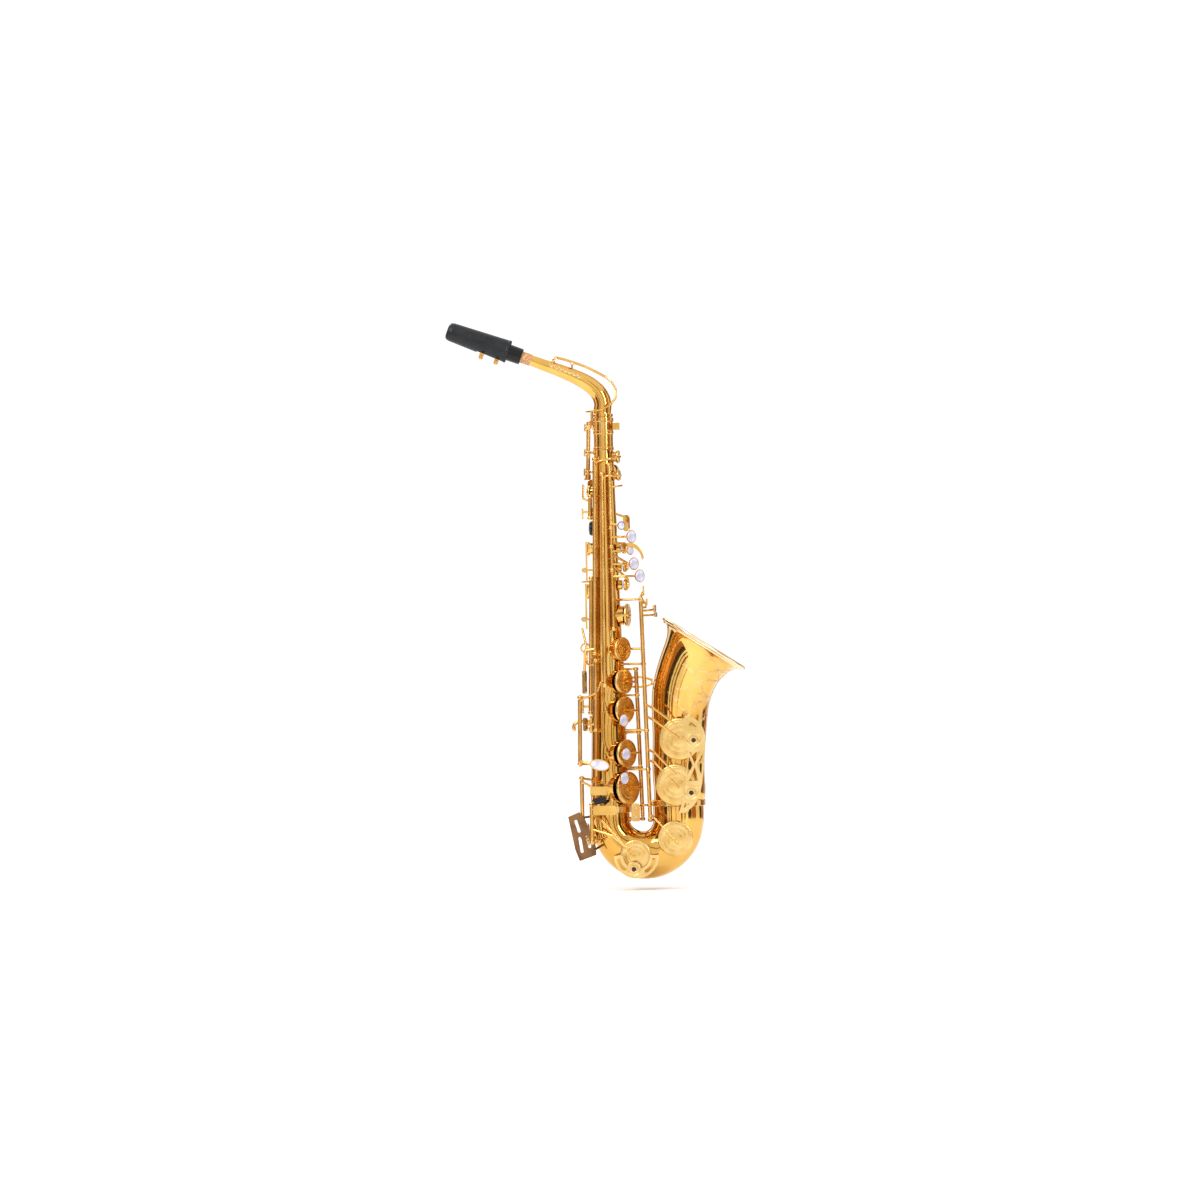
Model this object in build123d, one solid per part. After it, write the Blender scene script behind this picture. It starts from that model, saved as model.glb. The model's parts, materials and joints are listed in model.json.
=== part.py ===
from build123d import *
import os
from math import cos, radians, sin, sqrt

# An alto saxophone, built from its horn outwards: conical body tube, bow, bell and neck,
# then posts and steel rods, then the keys that turn on them, then the mouthpiece.
# Modelling axes: the body tube's axis is Z, with Z = 0 level with the lowest point of the
# bow. The bell stands on the +X side, the player on the -X side, and the player's right
# hand works on the -Y side. Every node is written with the strap ring's centre as origin.

# ------------------------------------------------------------------ horn, millimetres
WALL = 1.0
BODY_LOW_Z = 90.0
BODY_TOP_Z = 550.0
BODY_LOW_RADIUS = 24.8
BODY_TOP_RADIUS = 12.25
CHIMNEY = 3.5
CHIMNEY_WALL = 1.0

BOW_CENTRE_X = 43.5
BOW_CENTRE_Z = 77.0
BOW_DROP = 46.0
BOW_MID_RADIUS = 31.0
BELL_LOW_X = 87.0
BELL_LOW_Z = 97.0
BELL_LOW_RADIUS = 32.5

BELL_TILT_MAX = 32.9
RIM_CENTRE = (123.3, 299.8)
RIM_RADIUS = 61.5
RIM_BEAD = 2.2
# Bell sections: centre X, centre Z, radius, tilt of the section's normal towards +X.
BELL_SECTIONS = (
    (87.0, BELL_LOW_Z, BELL_LOW_RADIUS, 0),
    (88.0, 135.0, 33.2, 1),
    (89.5, 176.0, 33.8, 2),
    (90.5, 205.0, 35.3, 5),
    (93.3, 236.5, 37.6, 15),
    (99.8, 257.5, 39.4, 24),
    (107.2, 274.0, 41.6, 30),
    (115.4, 287.5, 46.0, 32.4),
    (120.2, 295.0, 52.0, BELL_TILT_MAX),
    (122.3, 298.3, 57.0, BELL_TILT_MAX),
    (123.3, 299.8, 60.6, BELL_TILT_MAX),
)

# ------------------------------------------------------------------ neck and mouthpiece
RECEIVER_TOP_Z = 591.0
RECEIVER_RADIUS = 13.2
TENON_RADIUS = 11.2
TENON_LOW_Z = 567.0
TENON_TOP_Z = 592.7
# Neck sections: centre X, centre Z, radius.
NECK_SECTIONS = (
    (0.0, 592.5, 11.5),
    (0.0, 607.0, 11.3),
    (-3.0, 619.5, 10.9),
    (-12.0, 630.5, 10.3),
    (-24.0, 638.8, 9.7),
    (-38.0, 645.9, 8.9),
    (-51.5, 651.6, 8.3),
    (-65.0, 656.75, 7.7),
    (-78.0, 661.66, 7.2),
    (-90.8, 666.5, 6.65),
)
NECK_BORE_WALL = 0.9
PIPE_ANGLE = 20.7
PIPE_START = (-90.8, 666.5)
CORK_LENGTH = 30.0
CORK_RADIUS = 7.5
CORK_SEAT_RADIUS = 6.2
FIT = 0.05
VENT_DIRECTION = Vector(-0.36, 0, 0.93)

# ------------------------------------------------------------------ keywork
TUBE_RADIUS = 2.6
ROD_RADIUS = 1.25
ROD_BORE = ROD_RADIUS + FIT
POST_RADIUS = 3.4
POST_HALF = 2.2
TUBE_GAP = 0.4
END = POST_HALF + TUBE_GAP
STEM_RADIUS = 1.5
FOOT_RADIUS = 3.2
ARM_RADIUS = 1.6
KNUCKLE = 1.04
ROD_LIFT = 6.0
PAD_GAP = 0.3
PAD_THICK = 2.4
CUP_TOP = 4.2
PEARL_RADIUS = 7.4

STRAP_RING_CENTRE = (-28.0, 0.0, 297.0)
STRAP_RING_BORE = 4.5
STRAP_RING_RADIUS = 6.6
STRAP_RING_THICK = 3.0

STACK_OPEN = 9.0
UPPER_STACK_OPEN = 8.0
BELL_KEY_OPEN = 9.0
LOW_C_OPEN = 7.0


# ------------------------------------------------------------------ small helpers
def body_radius(z):
    """Outer radius of the conical body tube at height z."""
    share = (z - BODY_LOW_Z) / (BODY_TOP_Z - BODY_LOW_Z)
    return BODY_LOW_RADIUS + (BODY_TOP_RADIUS - BODY_LOW_RADIUS) * share


def outward(angle):
    """Horizontal unit vector at an angle round the body tube, from +X towards +Y."""
    return Vector(cos(radians(angle)), sin(radians(angle)), 0)


def sideways(angle):
    """Horizontal unit vector along the body tube's skin, towards larger angles."""
    return Vector(-sin(radians(angle)), cos(radians(angle)), 0)


def around(angle, z, lift=0.0):
    """Point beside the body tube, lift above its skin."""
    return outward(angle) * (body_radius(z) + lift) + Vector(0, 0, z)


def line_at(line, z):
    """Point on a nearly upright line at height z."""
    low, high = line
    return low + (high - low) * ((z - low.Z) / (high.Z - low.Z))


def rod(start, end, radius):
    start = Vector(start)
    run = Vector(end) - start
    return Solid.make_cylinder(radius, run.length, Plane(origin=start, z_dir=run))


def ball(centre, radius):
    return Solid.make_sphere(radius).moved(Location(Vector(centre)))


def disc(centre, normal, radius, thick):
    """Round disc whose lower face is centred on centre and faces against normal."""
    return Solid.make_cylinder(radius, thick, Plane(origin=Vector(centre), z_dir=Vector(normal)))


def arm(points, radius=ARM_RADIUS):
    """Round bent bar through the points, with ball corners and ends."""
    points = [Vector(p) for p in points]
    bars = [rod(a, b, radius) for a, b in zip(points, points[1:])]
    return bars + [ball(p, radius * KNUCKLE) for p in points]


def bent_bar(points, radius):
    """Round bar along a smooth curve through the points."""
    points = [Vector(p) for p in points]
    path = Spline(*points)
    return sweep(Plane(origin=points[0], z_dir=path % 0) * Circle(radius), path=path)


def slab(centre, normal, upward, width, height, thick, corner=1.5):
    """Rounded plate centred on centre, thick along normal, height along upward."""
    across = Vector(upward).cross(Vector(normal))
    plane = Plane(origin=Vector(centre), x_dir=across, z_dir=Vector(normal))
    return extrude(plane * RectangleRounded(width, height, corner), thick / 2, both=True)


def join(pieces):
    """One fused solid out of overlapping pieces."""
    flat = []
    for piece in pieces:
        flat.extend(piece if isinstance(piece, list) else [piece])
    return flat[0].fuse(*flat[1:])


def spun(profile, origin, axis):
    """Solid of revolution: profile points are (radius, height) along axis from origin."""
    face = Face(Wire.make_polygon([(r, 0, h) for r, h in profile], close=True))
    plane = Plane(origin=Vector(origin), z_dir=Vector(axis))
    return revolve(face, Axis.Z).moved(plane.location)


def tilted_circle(x, z, radius, tilt):
    """Circle in the bell's plane of symmetry whose normal leans tilt degrees towards +X."""
    normal = Vector(sin(radians(tilt)), 0, cos(radians(tilt)))
    return Plane(origin=Vector(x, 0, z), x_dir=Vector(0, 1, 0), z_dir=normal) * Circle(radius)


def skin(sections, inset=0.0):
    """Loft through (x, z, radius, tilt) sections, shrunk by inset."""
    return loft([tilted_circle(x, z, radius - inset, tilt) for x, z, radius, tilt in sections])


def hinge_line(angle, low_z, high_z, lift=ROD_LIFT):
    """Rod line that runs along the body tube's flank."""
    return around(angle, low_z, lift), around(angle, high_z, lift)


def hinge_tube(line, low_z, high_z, radius=TUBE_RADIUS):
    return rod(line_at(line, low_z), line_at(line, high_z), radius)


def drilled(shape, line, bore=ROD_BORE):
    """Cut the rod's bore right through a key or post."""
    low, high = line
    along = (high - low).normalized() * 5
    return shape - rod(low - along, high + along, bore)


def turned(shape, line, angle):
    low, high = line
    return shape.rotate(Axis(low, high - low), angle)


# ------------------------------------------------------------------ tone holes
# Holes on the body tube: angle round the tube, height, bore radius, cup radius.
BODY_HOLES = {
    "high_e": (-5, 541, 5.6, 8.6),
    "high_fs": (-12, 517, 4.6, 7.2),
    "palm_f": (45, 524, 5.0, 7.4),
    "palm_eb": (160, 497, 5.2, 7.8),
    "palm_d": (125, 470, 6.0, 8.8),
    "key_b": (-5, 424, 5.4, 7.8),
    "key_bis": (-5, 400, 5.0, 7.2),
    "key_a": (-5, 377, 5.6, 8.0),
    "key_g": (-5, 338, 11.5, 14.8),
    "key_g_sharp": (-40, 294.6, 12.5, 15.6),
    "side_c": (180, 424, 6.4, 9.2),
    "side_bb": (180, 369, 7.2, 10.0),
    "f_sharp": (-50, 253.5, 13.0, 16.2),
    "key_f": (-50, 217.2, 14.2, 17.4),
    "key_e": (-50, 161.4, 14.8, 18.0),
    "key_d": (-50, 117.3, 17.8, 21.3),
}
# Holes on the bow and bell: rim centre, direction, bore radius, cup radius.
BOW_HOLES = {
    "low_eb": ((-27.5, 0, 58), (-1, 0, 0), 12.0, 15.0),
    "low_c": ((31.8, -34.5, 31.7), (0, -1, 0), 16.5, 20.0),
    "low_cs": ((82, -36.5, 52.4), (0, -1, 0), 19.0, 22.4),
}
BELL_HOLES = {
    "low_b": ((86.7, -37.5, 121.1), (0, -1, 0), 22.0, 26.0),
    "low_bb": ((91.5, -38.5, 179.4), (0, -1, 0), 22.5, 26.5),
}


def hole_frame(name):
    """Rim centre, outward direction, bore radius and cup radius of a tone hole."""
    if name in BODY_HOLES:
        angle, z, bore, cup_radius = BODY_HOLES[name]
        return around(angle, z, CHIMNEY), outward(angle), bore, cup_radius
    centre, direction, bore, cup_radius = {**BOW_HOLES, **BELL_HOLES}[name]
    return Vector(centre), Vector(direction), bore, cup_radius


def chimney(name):
    """Outside of a tone-hole chimney, from inside the horn to its rim."""
    centre, direction, bore, _ = hole_frame(name)
    depth = bore + CHIMNEY + CHIMNEY_WALL
    return rod(centre - direction * depth, centre, bore + CHIMNEY_WALL)


def chimney_bore(name):
    centre, direction, bore, _ = hole_frame(name)
    depth = bore + CHIMNEY + CHIMNEY_WALL
    return rod(centre - direction * depth, centre + direction, bore)


# ------------------------------------------------------------------ rod lines
HINGES = {
    "high_e": hinge_line(-130, 290, 538),
    "high_fs": hinge_line(-99, 247, 520),
    "upper_stack": hinge_line(-70, 318, 531),
    "side_c": hinge_line(-147, 212, 387),
    "side_bb": hinge_line(-127, 190, 283),
    "lower_stack": hinge_line(0, 76, 271, lift=16.0),
    "palm_f": hinge_line(85, 504, 532, lift=7.0),
    "palm_eb": hinge_line(122, 488, 512, lift=7.0),
    "palm_d": hinge_line(82, 458, 486, lift=7.0),
    "octave_lever": hinge_line(-158, 462, 492),
    "octave_rod": (Vector(-20.6, 0, 515), Vector(-18.8, 0, 583)),
    "neck_octave": (Vector(-38.3, -5, 661.5), Vector(-38.3, 5, 661.5)),
    "side_c_cup": (Vector(-27.8, -9.5, 396.6), Vector(-27.8, 9.5, 396.6)),
    "side_bb_cup": (Vector(-29.5, -9.5, 333.8), Vector(-29.5, 9.5, 333.8)),
    "high_fs_lever": (Vector(-37.8, -17, 146), Vector(-36.4, -17, 237)),
    "low_eb": (Vector(-36, -17, 52), Vector(-36, -17, 134)),
    "low_c": (Vector(-24, -31, 46), Vector(-24, -31, 99)),
}
BELL_ROD_LOW_X = 50.7
BELL_ROD_HIGH_X = 43.5


def bell_line(y, low_z, high_z):
    """Rod line between body and bell, leaning as the body's flank does."""
    slope = (BELL_ROD_HIGH_X - BELL_ROD_LOW_X) / (360 - 74)
    low_x = BELL_ROD_LOW_X + slope * (low_z - 74)
    high_x = BELL_ROD_LOW_X + slope * (high_z - 74)
    return Vector(low_x, y, low_z), Vector(high_x, y, high_z)


HINGES["low_bb"] = bell_line(-33, 188, 361)
HINGES["low_b"] = bell_line(-25, 138, 361)
HINGES["low_cs"] = bell_line(-17, 73, 361)
HINGES["g_sharp"] = bell_line(-9, 273, 361)


# ------------------------------------------------------------------ key building blocks
def cup_metal(name):
    """Spun key cup over its tone hole, pad recess facing the rim."""
    centre, direction, _, radius = hole_frame(name)
    wall = 1.0
    profile = (
        (0, PAD_THICK),
        (radius - wall, PAD_THICK),
        (radius - wall, 0.8),
        (radius, 0.8),
        (radius, PAD_THICK + 0.4),
        (radius - 1.3, PAD_THICK + 1.3),
        (radius * 0.55, CUP_TOP - 0.2),
        (0, CUP_TOP),
    )
    return spun(profile, centre + direction * PAD_GAP, direction)


def cup_pad(name):
    """Pad held in the cup, with a flat resonator disc in its middle."""
    centre, direction, _, radius = hole_frame(name)
    return disc(centre + direction * PAD_GAP, direction, radius - 1.1, PAD_THICK)


def cup_arm(name, line, z):
    """Arm from the hinge tube at height z, over the cup's edge, to the cup's middle."""
    centre, direction, _, radius = hole_frame(name)
    start = line_at(line, z)
    top = centre + direction * (PAD_GAP + CUP_TOP + ARM_RADIUS * 0.5)
    reach = start - top
    reach = reach - direction * reach.dot(direction)
    edge = top + reach.normalized() * min(radius + 0.5, reach.length * 0.8) + direction * 0.8
    return arm([start, edge, top]) + [disc(top - direction * 0.9, direction, 4.2, 2.2)]


def pearl_dish(centre, normal, radius=PEARL_RADIUS):
    """Round dish that a pearl is set in; centre is the pearl's seat."""
    profile = (
        (0, -2.0),
        (radius, -1.4),
        (radius + 0.9, 0.2),
        (radius + 0.9, 0.9),
        (radius + 0.15, 0.9),
        (radius + 0.15, 0),
        (0, 0),
    )
    return spun(profile, centre, normal)


def pearl(centre, normal, radius=PEARL_RADIUS):
    """Shallow domed mother-of-pearl button."""
    profile = (
        (0, 0),
        (radius, 0),
        (radius, 1.1),
        (radius * 0.8, 1.8),
        (radius * 0.45, 2.2),
        (0, 2.3),
    )
    return spun(profile, centre, normal)


def key(line, pieces, segments):
    """Fuse a key's pieces with its hinge tubes, drill the bore."""
    tubes = [hinge_tube(line, low, high) for low, high in segments]
    return drilled(join(tubes + pieces), line)


def node(*solids):
    """Group of separate solids that are written as one node."""
    flat = []
    for shape in solids:
        flat.extend(shape.solids())
    return Compound(flat)


# ------------------------------------------------------------------ horn
def make_body_tube():
    outer = Solid.make_cone(BODY_LOW_RADIUS, BODY_TOP_RADIUS, BODY_TOP_Z - BODY_LOW_Z)
    inner = Solid.make_cone(
        BODY_LOW_RADIUS - WALL, BODY_TOP_RADIUS - WALL, BODY_TOP_Z - BODY_LOW_Z
    )
    outer = outer.moved(Location((0, 0, BODY_LOW_Z)))
    inner = inner.moved(Location((0, 0, BODY_LOW_Z)))
    shape = outer.fuse(*[chimney(name) for name in BODY_HOLES]) - inner
    for name in BODY_HOLES:
        shape = shape - chimney_bore(name)
    return shape


def bow_sections():
    """Sections of the U-shaped bow, from the body tube round to the bell."""
    sections = [(0.0, BODY_LOW_Z, BODY_LOW_RADIUS, 180.0)]
    steps = 8
    for step in range(steps + 1):
        turn = 180.0 * step / steps
        x = BOW_CENTRE_X * (1 - cos(radians(turn)))
        z = BOW_CENTRE_Z - BOW_DROP * sin(radians(turn))
        end_radius = BODY_LOW_RADIUS if turn < 90 else BELL_LOW_RADIUS
        swell = sin(radians(turn)) ** 2
        radius = end_radius + (BOW_MID_RADIUS - end_radius) * swell
        sections.append((x, z, radius, 180.0 - turn))
    sections.append((BELL_LOW_X, BELL_LOW_Z, BELL_LOW_RADIUS, 0.0))
    return sections


def make_bow():
    outer = skin(bow_sections())
    inner = skin(bow_sections(), WALL)
    shape = outer.fuse(*[chimney(name) for name in BOW_HOLES]) - inner
    for name in BOW_HOLES:
        shape = shape - chimney_bore(name)
    return shape


def make_bell():
    outer = skin(BELL_SECTIONS)
    inner = skin(BELL_SECTIONS, WALL)
    shape = outer.fuse(*[chimney(name) for name in BELL_HOLES]) - inner
    for name in BELL_HOLES:
        shape = shape - chimney_bore(name)
    normal = Vector(sin(radians(BELL_TILT_MAX)), 0, cos(radians(BELL_TILT_MAX)))
    rim_plane = Plane(origin=Vector(RIM_CENTRE[0], 0, RIM_CENTRE[1]), z_dir=normal)
    bead = Solid.make_torus(RIM_RADIUS - RIM_BEAD, RIM_BEAD, rim_plane)
    return shape.fuse(bead)


def ring_band(centre, normal, inner, outer, length):
    """Plain band with rounded outer edges, centred on centre."""
    half = length / 2
    profile = (
        (inner, -half),
        (outer - 0.6, -half),
        (outer, -half + 0.6),
        (outer, half - 0.6),
        (outer - 0.6, half),
        (inner, half),
    )
    return spun(profile, centre, normal)


def make_bow_ferrules():
    body_ring = ring_band((0, 0, BODY_LOW_Z), (0, 0, 1), BODY_LOW_RADIUS + 0.25, 26.9, 9)
    bell_ring = ring_band(
        (BELL_LOW_X, 0, BELL_LOW_Z), (0, 0, 1), BELL_LOW_RADIUS + 0.45, 34.6, 8
    )
    return node(body_ring, bell_ring)


def make_neck_receiver():
    """Split socket with two clamp ears, on top of the body tube."""
    low_z = BODY_TOP_Z
    bore = TENON_RADIUS + FIT
    profile = (
        (bore, low_z),
        (RECEIVER_RADIUS - 0.6, low_z),
        (RECEIVER_RADIUS, low_z + 0.6),
        (RECEIVER_RADIUS, low_z + 3),
        (RECEIVER_RADIUS - 0.8, low_z + 4),
        (RECEIVER_RADIUS - 0.8, low_z + 20),
        (RECEIVER_RADIUS, low_z + 21),
        (RECEIVER_RADIUS, low_z + 24),
        (RECEIVER_RADIUS - 0.8, low_z + 25),
        (RECEIVER_RADIUS - 0.8, RECEIVER_TOP_Z - 5),
        (RECEIVER_RADIUS + 0.2, RECEIVER_TOP_Z - 4),
        (RECEIVER_RADIUS + 0.2, RECEIVER_TOP_Z),
        (bore, RECEIVER_TOP_Z),
    )
    socket = spun(profile, (0, 0, 0), (0, 0, 1))
    ears = Solid.make_box(9, 8, 9).moved(Location((12.0, -4, 575.5)))
    ears = ears - rod((0, 0, BODY_TOP_Z), (0, 0, RECEIVER_TOP_Z), RECEIVER_RADIUS - 1)
    slot = Solid.make_box(14, 1.4, 24).moved(Location((8.5, -0.7, 568)))
    hole = rod((17.5, -9, 580), (17.5, 9, 580), ROD_BORE)
    return socket.fuse(ears) - slot - hole


def make_neck_screw():
    """Thumbscrew through the receiver's ears."""
    shank = rod((17.5, -6, 580), (17.5, 5.5, 580), ROD_RADIUS)
    collar = rod((17.5, -6.5, 580), (17.5, -4.4, 580), 3.2)
    head = slab((17.5, -10, 580), (1, 0, 0), (0, 0, 1), 8, 9, 2.2, corner=2.5)
    return join([shank, collar, head])


def make_bell_brace():
    """Two-legged brace that ties the bell to the body tube, beside the stack rod."""
    z = 252.0
    body_foot = disc(around(28, z, -0.5), outward(28), 4.6, 1.6)
    bell_foot = rod((55.0, 11, z), (57.2, 11, z), 4.6)
    shape = body_foot
    for side in (-1, 1):
        start = around(28, z + 1.7 * side, 0.1)
        end = Vector(56.6, 11, z + 2.0 * side)
        middle = (start + end) * 0.5 + Vector(0, 2.5, 4.5 * side)
        shape = shape.fuse(bent_bar([start, middle, end], 1.5))
    return shape.fuse(bell_foot)


# ------------------------------------------------------------------ posts and rods
def post(line, z, foot, knuckle=POST_RADIUS):
    """Ball post that carries a rod at height z and stands on foot."""
    seat = line_at(line, z)
    along = (line[1] - line[0]).normalized()
    knob = ball(seat, knuckle) & rod(seat - along * POST_HALF, seat + along * POST_HALF, knuckle)
    foot = Vector(foot)
    rise = (seat - foot).normalized()
    return join([knob, rod(foot, seat, STEM_RADIUS), rod(foot, foot + rise * 1.5, FOOT_RADIUS)])


def flank_post(line, z, angle):
    return drilled(post(line, z, around(angle, z, -0.5)), line)


def bracket(lines, z, angle):
    """Arm from the body tube that carries several bell-side rods side by side."""
    seats = [line_at(line, z) for line in lines]
    back = Vector(-6.6, 0, 0)
    far = seats[-1] + back
    near = Vector(far.X, -7, z)
    shape = rod(around(angle, z, -0.5), near, 1.5).fuse(ball(near, 1.8))
    shape = shape.fuse(rod(near, far - Vector(0, 1.9, 0), 1.65))
    for line, seat in zip(lines, seats):
        along = (line[1] - line[0]).normalized()
        knob = ball(seat, POST_RADIUS) & rod(seat - along * POST_HALF, seat + along * POST_HALF, POST_RADIUS)
        shape = shape.fuse(rod(seat + back, seat + back * 0.3, 1.3)).fuse(knob)
    for line in lines:
        shape = drilled(shape, line)
    return shape


FLANK_POSTS = {
    "high_e": (-130, (290, 538)),
    "high_fs": (-99, (249, 519)),
    "upper_stack": (-70, (321, 396, 426, 450, 530)),
    "side_c": (-147, (214, 386)),
    "side_bb": (-127, (192, 281)),
    "lower_stack": (0, (77, 143, 188, 235.5, 269)),
    "palm_f": (85, (505, 531)),
    "palm_eb": (122, (489, 511)),
    "palm_d": (82, (459, 485)),
    "octave_lever": (-158, (463, 491)),
    "octave_rod": (180, (522, 547)),
}


def cross_post(line, y, foot_z):
    """Post beside a horizontal hinge on the back of the body tube."""
    seat = Vector(line[0].X, y, line[0].Z)
    half = Vector(0, POST_HALF * 0.7, 0)
    foot = Vector(-sqrt(body_radius(foot_z) ** 2 - y * y) + 0.6, y, foot_z)
    knob = ball(seat, POST_RADIUS) & rod(seat - half, seat + half, POST_RADIUS)
    return drilled(join([knob, rod(foot, seat, 1.3)]), line)


CROSS_POST_Y = 7.6


def make_key_posts():
    posts = []
    for name, (angle, heights) in FLANK_POSTS.items():
        for z in heights:
            posts.append(flank_post(HINGES[name], z, angle))
    receiver_foot = (0.5 - RECEIVER_RADIUS, 0, 579)
    posts.append(drilled(post(HINGES["octave_rod"], 579, receiver_foot), HINGES["octave_rod"]))
    for name in ("side_c_cup", "side_bb_cup"):
        line = HINGES[name]
        for y in (-CROSS_POST_Y, CROSS_POST_Y):
            posts.append(cross_post(line, y, line[0].Z))
    bell_rods = [HINGES[name] for name in ("low_cs", "low_b", "low_bb")]
    top_rods = [HINGES["g_sharp"]] + bell_rods
    posts.append(bracket(top_rods, 358, -8))
    posts.append(bracket(bell_rods[2:], 191, -22))
    posts.append(bracket(bell_rods[1:2], 141, -22))
    posts.append(drilled(post(HINGES["g_sharp"], 275.6, around(-12, 275.6, -0.5)), HINGES["g_sharp"]))
    posts.append(drilled(post(HINGES["low_cs"], 95, (24.6, -6, 95)), HINGES["low_cs"]))
    posts.append(drilled(post(HINGES["low_cs"], 76, (58.5, -8, 76)), HINGES["low_cs"]))
    lever_line = HINGES["high_fs_lever"]
    for z in (149, 234):
        posts.append(drilled(post(lever_line, z, around(-160, z, -0.5)), lever_line))
    for z, foot in ((55, (-13, -18, 51)), (131, around(-155, 128, -0.5))):
        posts.append(drilled(post(HINGES["low_eb"], z, foot), HINGES["low_eb"]))
    for z, foot in ((49, (-6, -21.5, 56)), (97, around(-128, 99, -0.5))):
        posts.append(drilled(post(HINGES["low_c"], z, foot), HINGES["low_c"]))
    return node(*posts)


def make_hinge_rods():
    rods = [rod(low, high, ROD_RADIUS) for name, (low, high) in HINGES.items() if name != "neck_octave"]
    return node(*rods)


# ------------------------------------------------------------------ body fittings
def make_strap_ring():
    """Ring and its soldered base, at the back of the body tube."""
    centre = Vector(STRAP_RING_CENTRE)
    half = Vector(0, STRAP_RING_THICK / 2, 0)
    ring = rod(centre - half, centre + half, STRAP_RING_RADIUS)
    base = slab((-body_radius(297) - 1.2, 0, 297), (-1, 0, 0), (0, 0, 1), 5.4, 24, 2.6, corner=2.4)
    return join([ring, base]) - rod(centre - half * 3, centre + half * 3, STRAP_RING_BORE)


def make_thumb_hook():
    """Adjustable right-thumb hook on its base plate."""
    z = 199.0
    back = -body_radius(z)
    base = slab((back - 1.0, 0, z), (-1, 0, 0), (0, 0, 1), 9, 22, 3.0, corner=3)
    tip = Vector(-44.6, 0, z - 6)
    run = [(back - 1.3, 0, z + 3.3), (-36.2, 0, z + 4.1), (-43.1, 0, z + 1.2), tip]
    hook = bent_bar(run, 2.2)
    screw = rod((back - 0.9, 0, z - 6), (back - 4.4, 0, z - 6), 2.7)
    return base.fuse(screw).fuse(hook).fuse(ball(tip, 2.25))


def make_thumb_rest():
    """Round left-thumb rest, slightly domed."""
    z = 450.0
    back = -body_radius(z) + 0.4
    profile = ((0, 0), (9.0, 0), (9.6, 2.5), (8.6, 5.2), (5, 6.2), (0, 6.6))
    return spun(profile, (back, 0, z), (-1, 0, 0))


GUARD_Y = -57.0
GUARD_THICK = 2.2
BELL_BOSSES = ((107.1, 177.8), (103.0, 111.0))
BOSS_RADIUS = 9.8
BOSS_HOLE = 4.6


def guard_point(x, z):
    return Vector(x, GUARD_Y, z)


def make_bell_key_guard():
    """Openwork guard over the two bell cups, with a bumper boss for each."""
    outer_run = [(97, 209), (112, 203), (120.5, 190), (121.5, 166), (119, 140), (114.5, 112)]
    outer_run += [(104, 93), (86, 85)]
    inner_run = [(86, 85), (92, 103), (95.5, 128), (99, 152), (97.5, 178), (93.5, 198), (97, 209)]
    outer = Edge.make_spline([guard_point(x, z) for x, z in outer_run])
    inner = Edge.make_spline([guard_point(x, z) for x, z in inner_run])
    plate = extrude(Face(Wire([outer, inner])), GUARD_THICK, dir=(0, -1, 0))
    down = Vector(0, -1, 0)
    for x, z in BELL_BOSSES:
        plate = plate + disc(guard_point(x, z) - down * 1.2, down, BOSS_RADIUS, GUARD_THICK + 2.2)
    windows = (
        ((101.5, 163), (114.5, 163), (108, 148)),
        ((118.2, 160), (116.2, 134), (110.6, 147)),
        ((100.8, 158), (98.2, 133), (105.6, 146)),
        ((100.5, 126), (112.5, 126), (108, 143.5)),
        ((101, 197), (111.5, 194), (104.5, 201.5)),
        ((92.5, 91.5), (101, 97), (94.6, 98.5)),
    )
    for corners in windows:
        hole = Face(Wire.make_polygon([guard_point(x, z) for x, z in corners], close=True))
        plate = plate - extrude(hole, 3 * GUARD_THICK, dir=(0, -1, 0), both=True)
    for x, z in BELL_BOSSES:
        plate = plate - rod(guard_point(x, z) - down * 5, guard_point(x, z) + down * 9, BOSS_HOLE)
    feet = (
        ((117, 151), (115.6, -21.5, 151)),
        ((98, 208), (97.5, -34.0, 213)),
        ((95, 89.5), (96, -30.8, 88.5)),
    )
    for (x, z), foot in feet:
        plate = plate + join(arm([guard_point(x, z) + down * 0.8, foot], 1.6))
        plate = plate + disc(Vector(foot) - down * 0.5, down, 4.0, 2.0)
    return plate


LOW_C_GUARD_Y = -53.0
LOW_C_BOSS = (28.3, 15.0)


def make_low_c_guard():
    """Crescent guard below the low C cup, on three feet."""
    centre, direction, _, radius = hole_frame("low_c")
    middle = Vector(centre.X, LOW_C_GUARD_Y, centre.Z)
    down = Vector(0, -1, 0)
    ring = disc(middle, down, radius + 8.6, GUARD_THICK) - disc(middle + down * -1, down, radius - 3.2, 6)
    upper = Solid.make_box(90, 12, 60).moved(Location((middle.X - 45, LOW_C_GUARD_Y - 6, middle.Z + 1)))
    plate = ring - upper
    slot = disc(middle + down * -1, down, radius + 5.0, 6) - disc(middle + down * -2, down, radius + 0.6, 8)
    left = Solid.make_box(14, 12, 15).moved(Location((middle.X - 27, LOW_C_GUARD_Y - 6, middle.Z - 18)))
    right = Solid.make_box(16, 12, 18).moved(Location((middle.X + 10, LOW_C_GUARD_Y - 6, middle.Z - 21)))
    plate = plate - (slot & left) - (slot & right)
    boss = Vector(LOW_C_BOSS[0], LOW_C_GUARD_Y, LOW_C_BOSS[1])
    plate = plate + disc(boss - down * 1.2, down, 9.3, GUARD_THICK + 2.2)
    plate = plate - rod(boss - down * 5, boss + down * 9, BOSS_HOLE)
    feet = (((6.5, 29.5), (3.5, -20.5, 31)), ((57.5, 29.5), (58.5, -30.5, 29)), ((34, 5.5), (35, -16.0, 6)))
    for (x, z), foot in feet:
        plate = plate + join(arm([Vector(x, LOW_C_GUARD_Y - 0.8, z), foot], 1.5))
    return plate


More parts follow.
